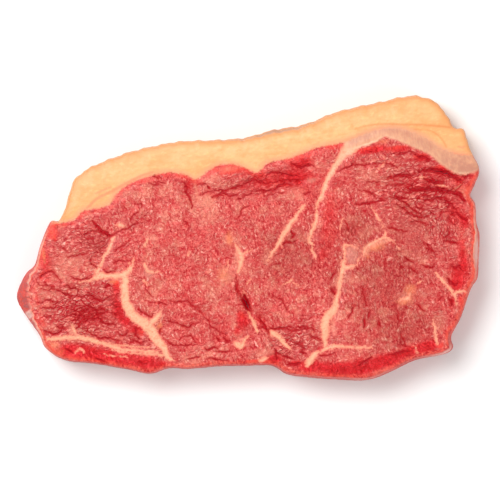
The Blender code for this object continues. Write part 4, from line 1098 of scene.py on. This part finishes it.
    meat = (1 - fatShare) * (1 - filmShare * 0.85) * (1 - veinShare * 0.6)
    rough = 0.34 + ragged * 0.2 * meat + wall * 0.25
    rise = (crown - 0.5) * (1.1 + 1.6 * coarse) * meat - lines * 0.5 * meat - cleft * 0.6 + ragged * 0.3
    bump = sheet.node("ShaderNodeBump", None, {"Strength": 1.0, "Distance": 0.42 * mm, "Height": rise})
    for socket, wire in (("Base Color", colour), ("Roughness", rough), ("Normal", bump),
                         ("Coat Weight", 0.1 * (1 - wall))):
        sheet.tree.links.new(wire.socket, shader.inputs[socket])
    for socket, value in {**finish, "Specular IOR Level": 0.18}.items():
        shader.inputs[socket].default_value = value
    return material


# The fibre bundles stand a little proud of the cut face

relief = {        # heights in mm
    "leanCut": {"Bundle height": 0.14, "Lump height": 0.12, "Seed": 12.0},
    "fatCap": {"Bundle height": 0.0, "Lump height": 0.22, "Seed": 12.0},
}


def reliefGroup():
    group = bpy.data.node_groups.new("fibre relief", "GeometryNodeTree")
    group.interface.new_socket("Geometry", in_out="OUTPUT", socket_type="NodeSocketGeometry")
    group.interface.new_socket("Geometry", in_out="INPUT", socket_type="NodeSocketGeometry")
    for label in ("Bundle height", "Lump height", "Seed"):
        group.interface.new_socket(label, in_out="INPUT", socket_type="NodeSocketFloat")
    group.interface.new_socket("Finish", in_out="INPUT", socket_type="NodeSocketMaterial")
    sheet = Sheet(group)
    given = group.nodes.new("NodeGroupInput")

    def value(label):
        return Wire(sheet, given.outputs[label])

    def field(key):
        return sheet.node("GeometryNodeInputNamedAttribute", {"data_type": "FLOAT"}, {"Name": key},
                          "Attribute")

    place = sheet.node("GeometryNodeInputPosition")
    at = sheet.vector("MULTIPLY", place, (1000, 1000, 1000))
    lines = fibreGrain(sheet, at, field("upright"), field("along"), 0.1 + 0.3 * field("coarse"))[3]
    fibres = sheet.noise(at, 1.2, 2, 0.5) - 0.5
    shift = sheet.node("ShaderNodeCombineXYZ", None, {"Z": value("Seed")})
    lumps = sheet.noise(sheet.vector("ADD", at, shift), 4.5, 3) - 0.5
    lean = sheet.smooth(field("seamSide"), 0.3, -0.3) * sheet.smooth(field("film"), 0.3, -0.3)
    calm = sheet.smooth(field("vein"), 0.2, -0.4)
    bundles = fibres * 2 - lines * field("coarse")
    rise = bundles * value("Bundle height") * lean * calm + lumps * 2 * value("Lump height")
    rise = rise * field("relief") * mm
    normal = sheet.node("GeometryNodeInputNormal")
    offset = sheet.node("ShaderNodeVectorMath", {"operation": "SCALE"}, {0: normal, "Scale": rise})
    moved = sheet.node("GeometryNodeSetPosition", None, {"Geometry": value("Geometry"), "Offset": offset})
    single = sheet.node("GeometryNodeRealizeInstances", None, {"Geometry": moved})
    finished = sheet.node("GeometryNodeSetMaterial", None,
                          {"Geometry": single, "Material": value("Finish")})
    out = group.nodes.new("NodeGroupOutput")
    group.links.new(finished.socket, out.inputs["Geometry"])
    return group


def addRelief(piece, group, sizes, finish):
    modifier = piece.modifiers.new("relief", "NODES")
    modifier.node_group = group
    sockets = {s.name: s.identifier for s in group.interface.items_tree if s.in_out == "INPUT"}
    for label, amount in {**sizes, "Finish": finish}.items():
        modifier[sockets[label]] = amount
    settled = bpy.context.evaluated_depsgraph_get()
    mesh = bpy.data.meshes.new_from_object(piece.evaluated_get(settled), preserve_all_data_layers=True,
                                           depsgraph=settled)
    piece.modifiers.clear()
    piece.data = mesh
    return piece


group = reliefGroup()
cuts = (("leanCut", "lean", -1, "lean", lean), ("fatCap", "fat_cap", 1, "fat", fat))
for name, node, side, slot, finish in cuts:
    material = makeMaterial("raw " + name, finish)
    piece = addRelief(buildPiece(name, side), group, relief[name], material)
    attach(piece, "root")
    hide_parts(node)
    triangles = sum(len(p.vertices) - 2 for p in piece.data.polygons)
    print(name, "finished:", triangles, "triangles")


# A pale floor, soft light and the camera straight above

studio = {
    "floor": hue(250, 250, 249), "floorHalf": 3, "world": 0.38,
    # place, size and power
    "lights": {"key": ((-0.55, 0.7, 1.45), 1.0, 26.5), "fill": ((0.6, -1.0, 1.2), 1.4, 10.5)},
    "view": (-0.32, 4.33), "distance": 2.0, "wide": 183.75, "turn": -10, "sensor": 36,
}


def lightPanel(name, place, size, power):
    light = bpy.data.lights.new(name, "AREA")
    light.shape = "SQUARE"
    light.size = size
    light.energy = power
    panel = bpy.data.objects.new(name, light)
    panel.location = place
    panel.rotation_euler = (Vector((0, 0, 0.02)) - Vector(place)).to_track_quat("-Z", "Y").to_euler()
    bpy.context.collection.objects.link(panel)


def layFloor():
    mesh = bpy.data.meshes.new("floor")
    half = studio["floorHalf"]
    mesh.from_pydata([(-half, -half, 0), (half, -half, 0), (half, half, 0), (-half, half, 0)], [],
                     [(0, 1, 2, 3)])
    material = bpy.data.materials.new("pale floor")
    material.use_nodes = True
    shader = material.node_tree.nodes["Principled BSDF"]
    shader.inputs["Base Color"].default_value = studio["floor"]
    shader.inputs["Roughness"].default_value = 0.9
    shader.inputs["Specular IOR Level"].default_value = 0.1
    mesh.materials.append(material)
    floor = bpy.data.objects.new("floor", mesh)
    bpy.context.collection.objects.link(floor)


layFloor()
world = bpy.data.worlds.new("studio")
world.use_nodes = True
world.node_tree.nodes["Background"].inputs["Color"].default_value = (1, 1, 1, 1)
world.node_tree.nodes["Background"].inputs["Strength"].default_value = studio["world"]
bpy.context.scene.world = world
for name, (place, size, power) in studio["lights"].items():
    lightPanel(name, place, size, power)
bpy.context.scene.view_settings.view_transform = "Standard"

lens = bpy.data.cameras.new("camera")
lens.sensor_width = studio["sensor"]
lens.lens = studio["sensor"] * studio["distance"] / (studio["wide"] * mm)
camera = bpy.data.objects.new("camera", lens)
x, y = studio["view"]
camera.location = (x * mm, y * mm, studio["distance"])
camera.rotation_euler = (0, 0, math.radians(studio["turn"]))
bpy.context.collection.objects.link(camera)
bpy.context.scene.camera = camera
print("studio ready")
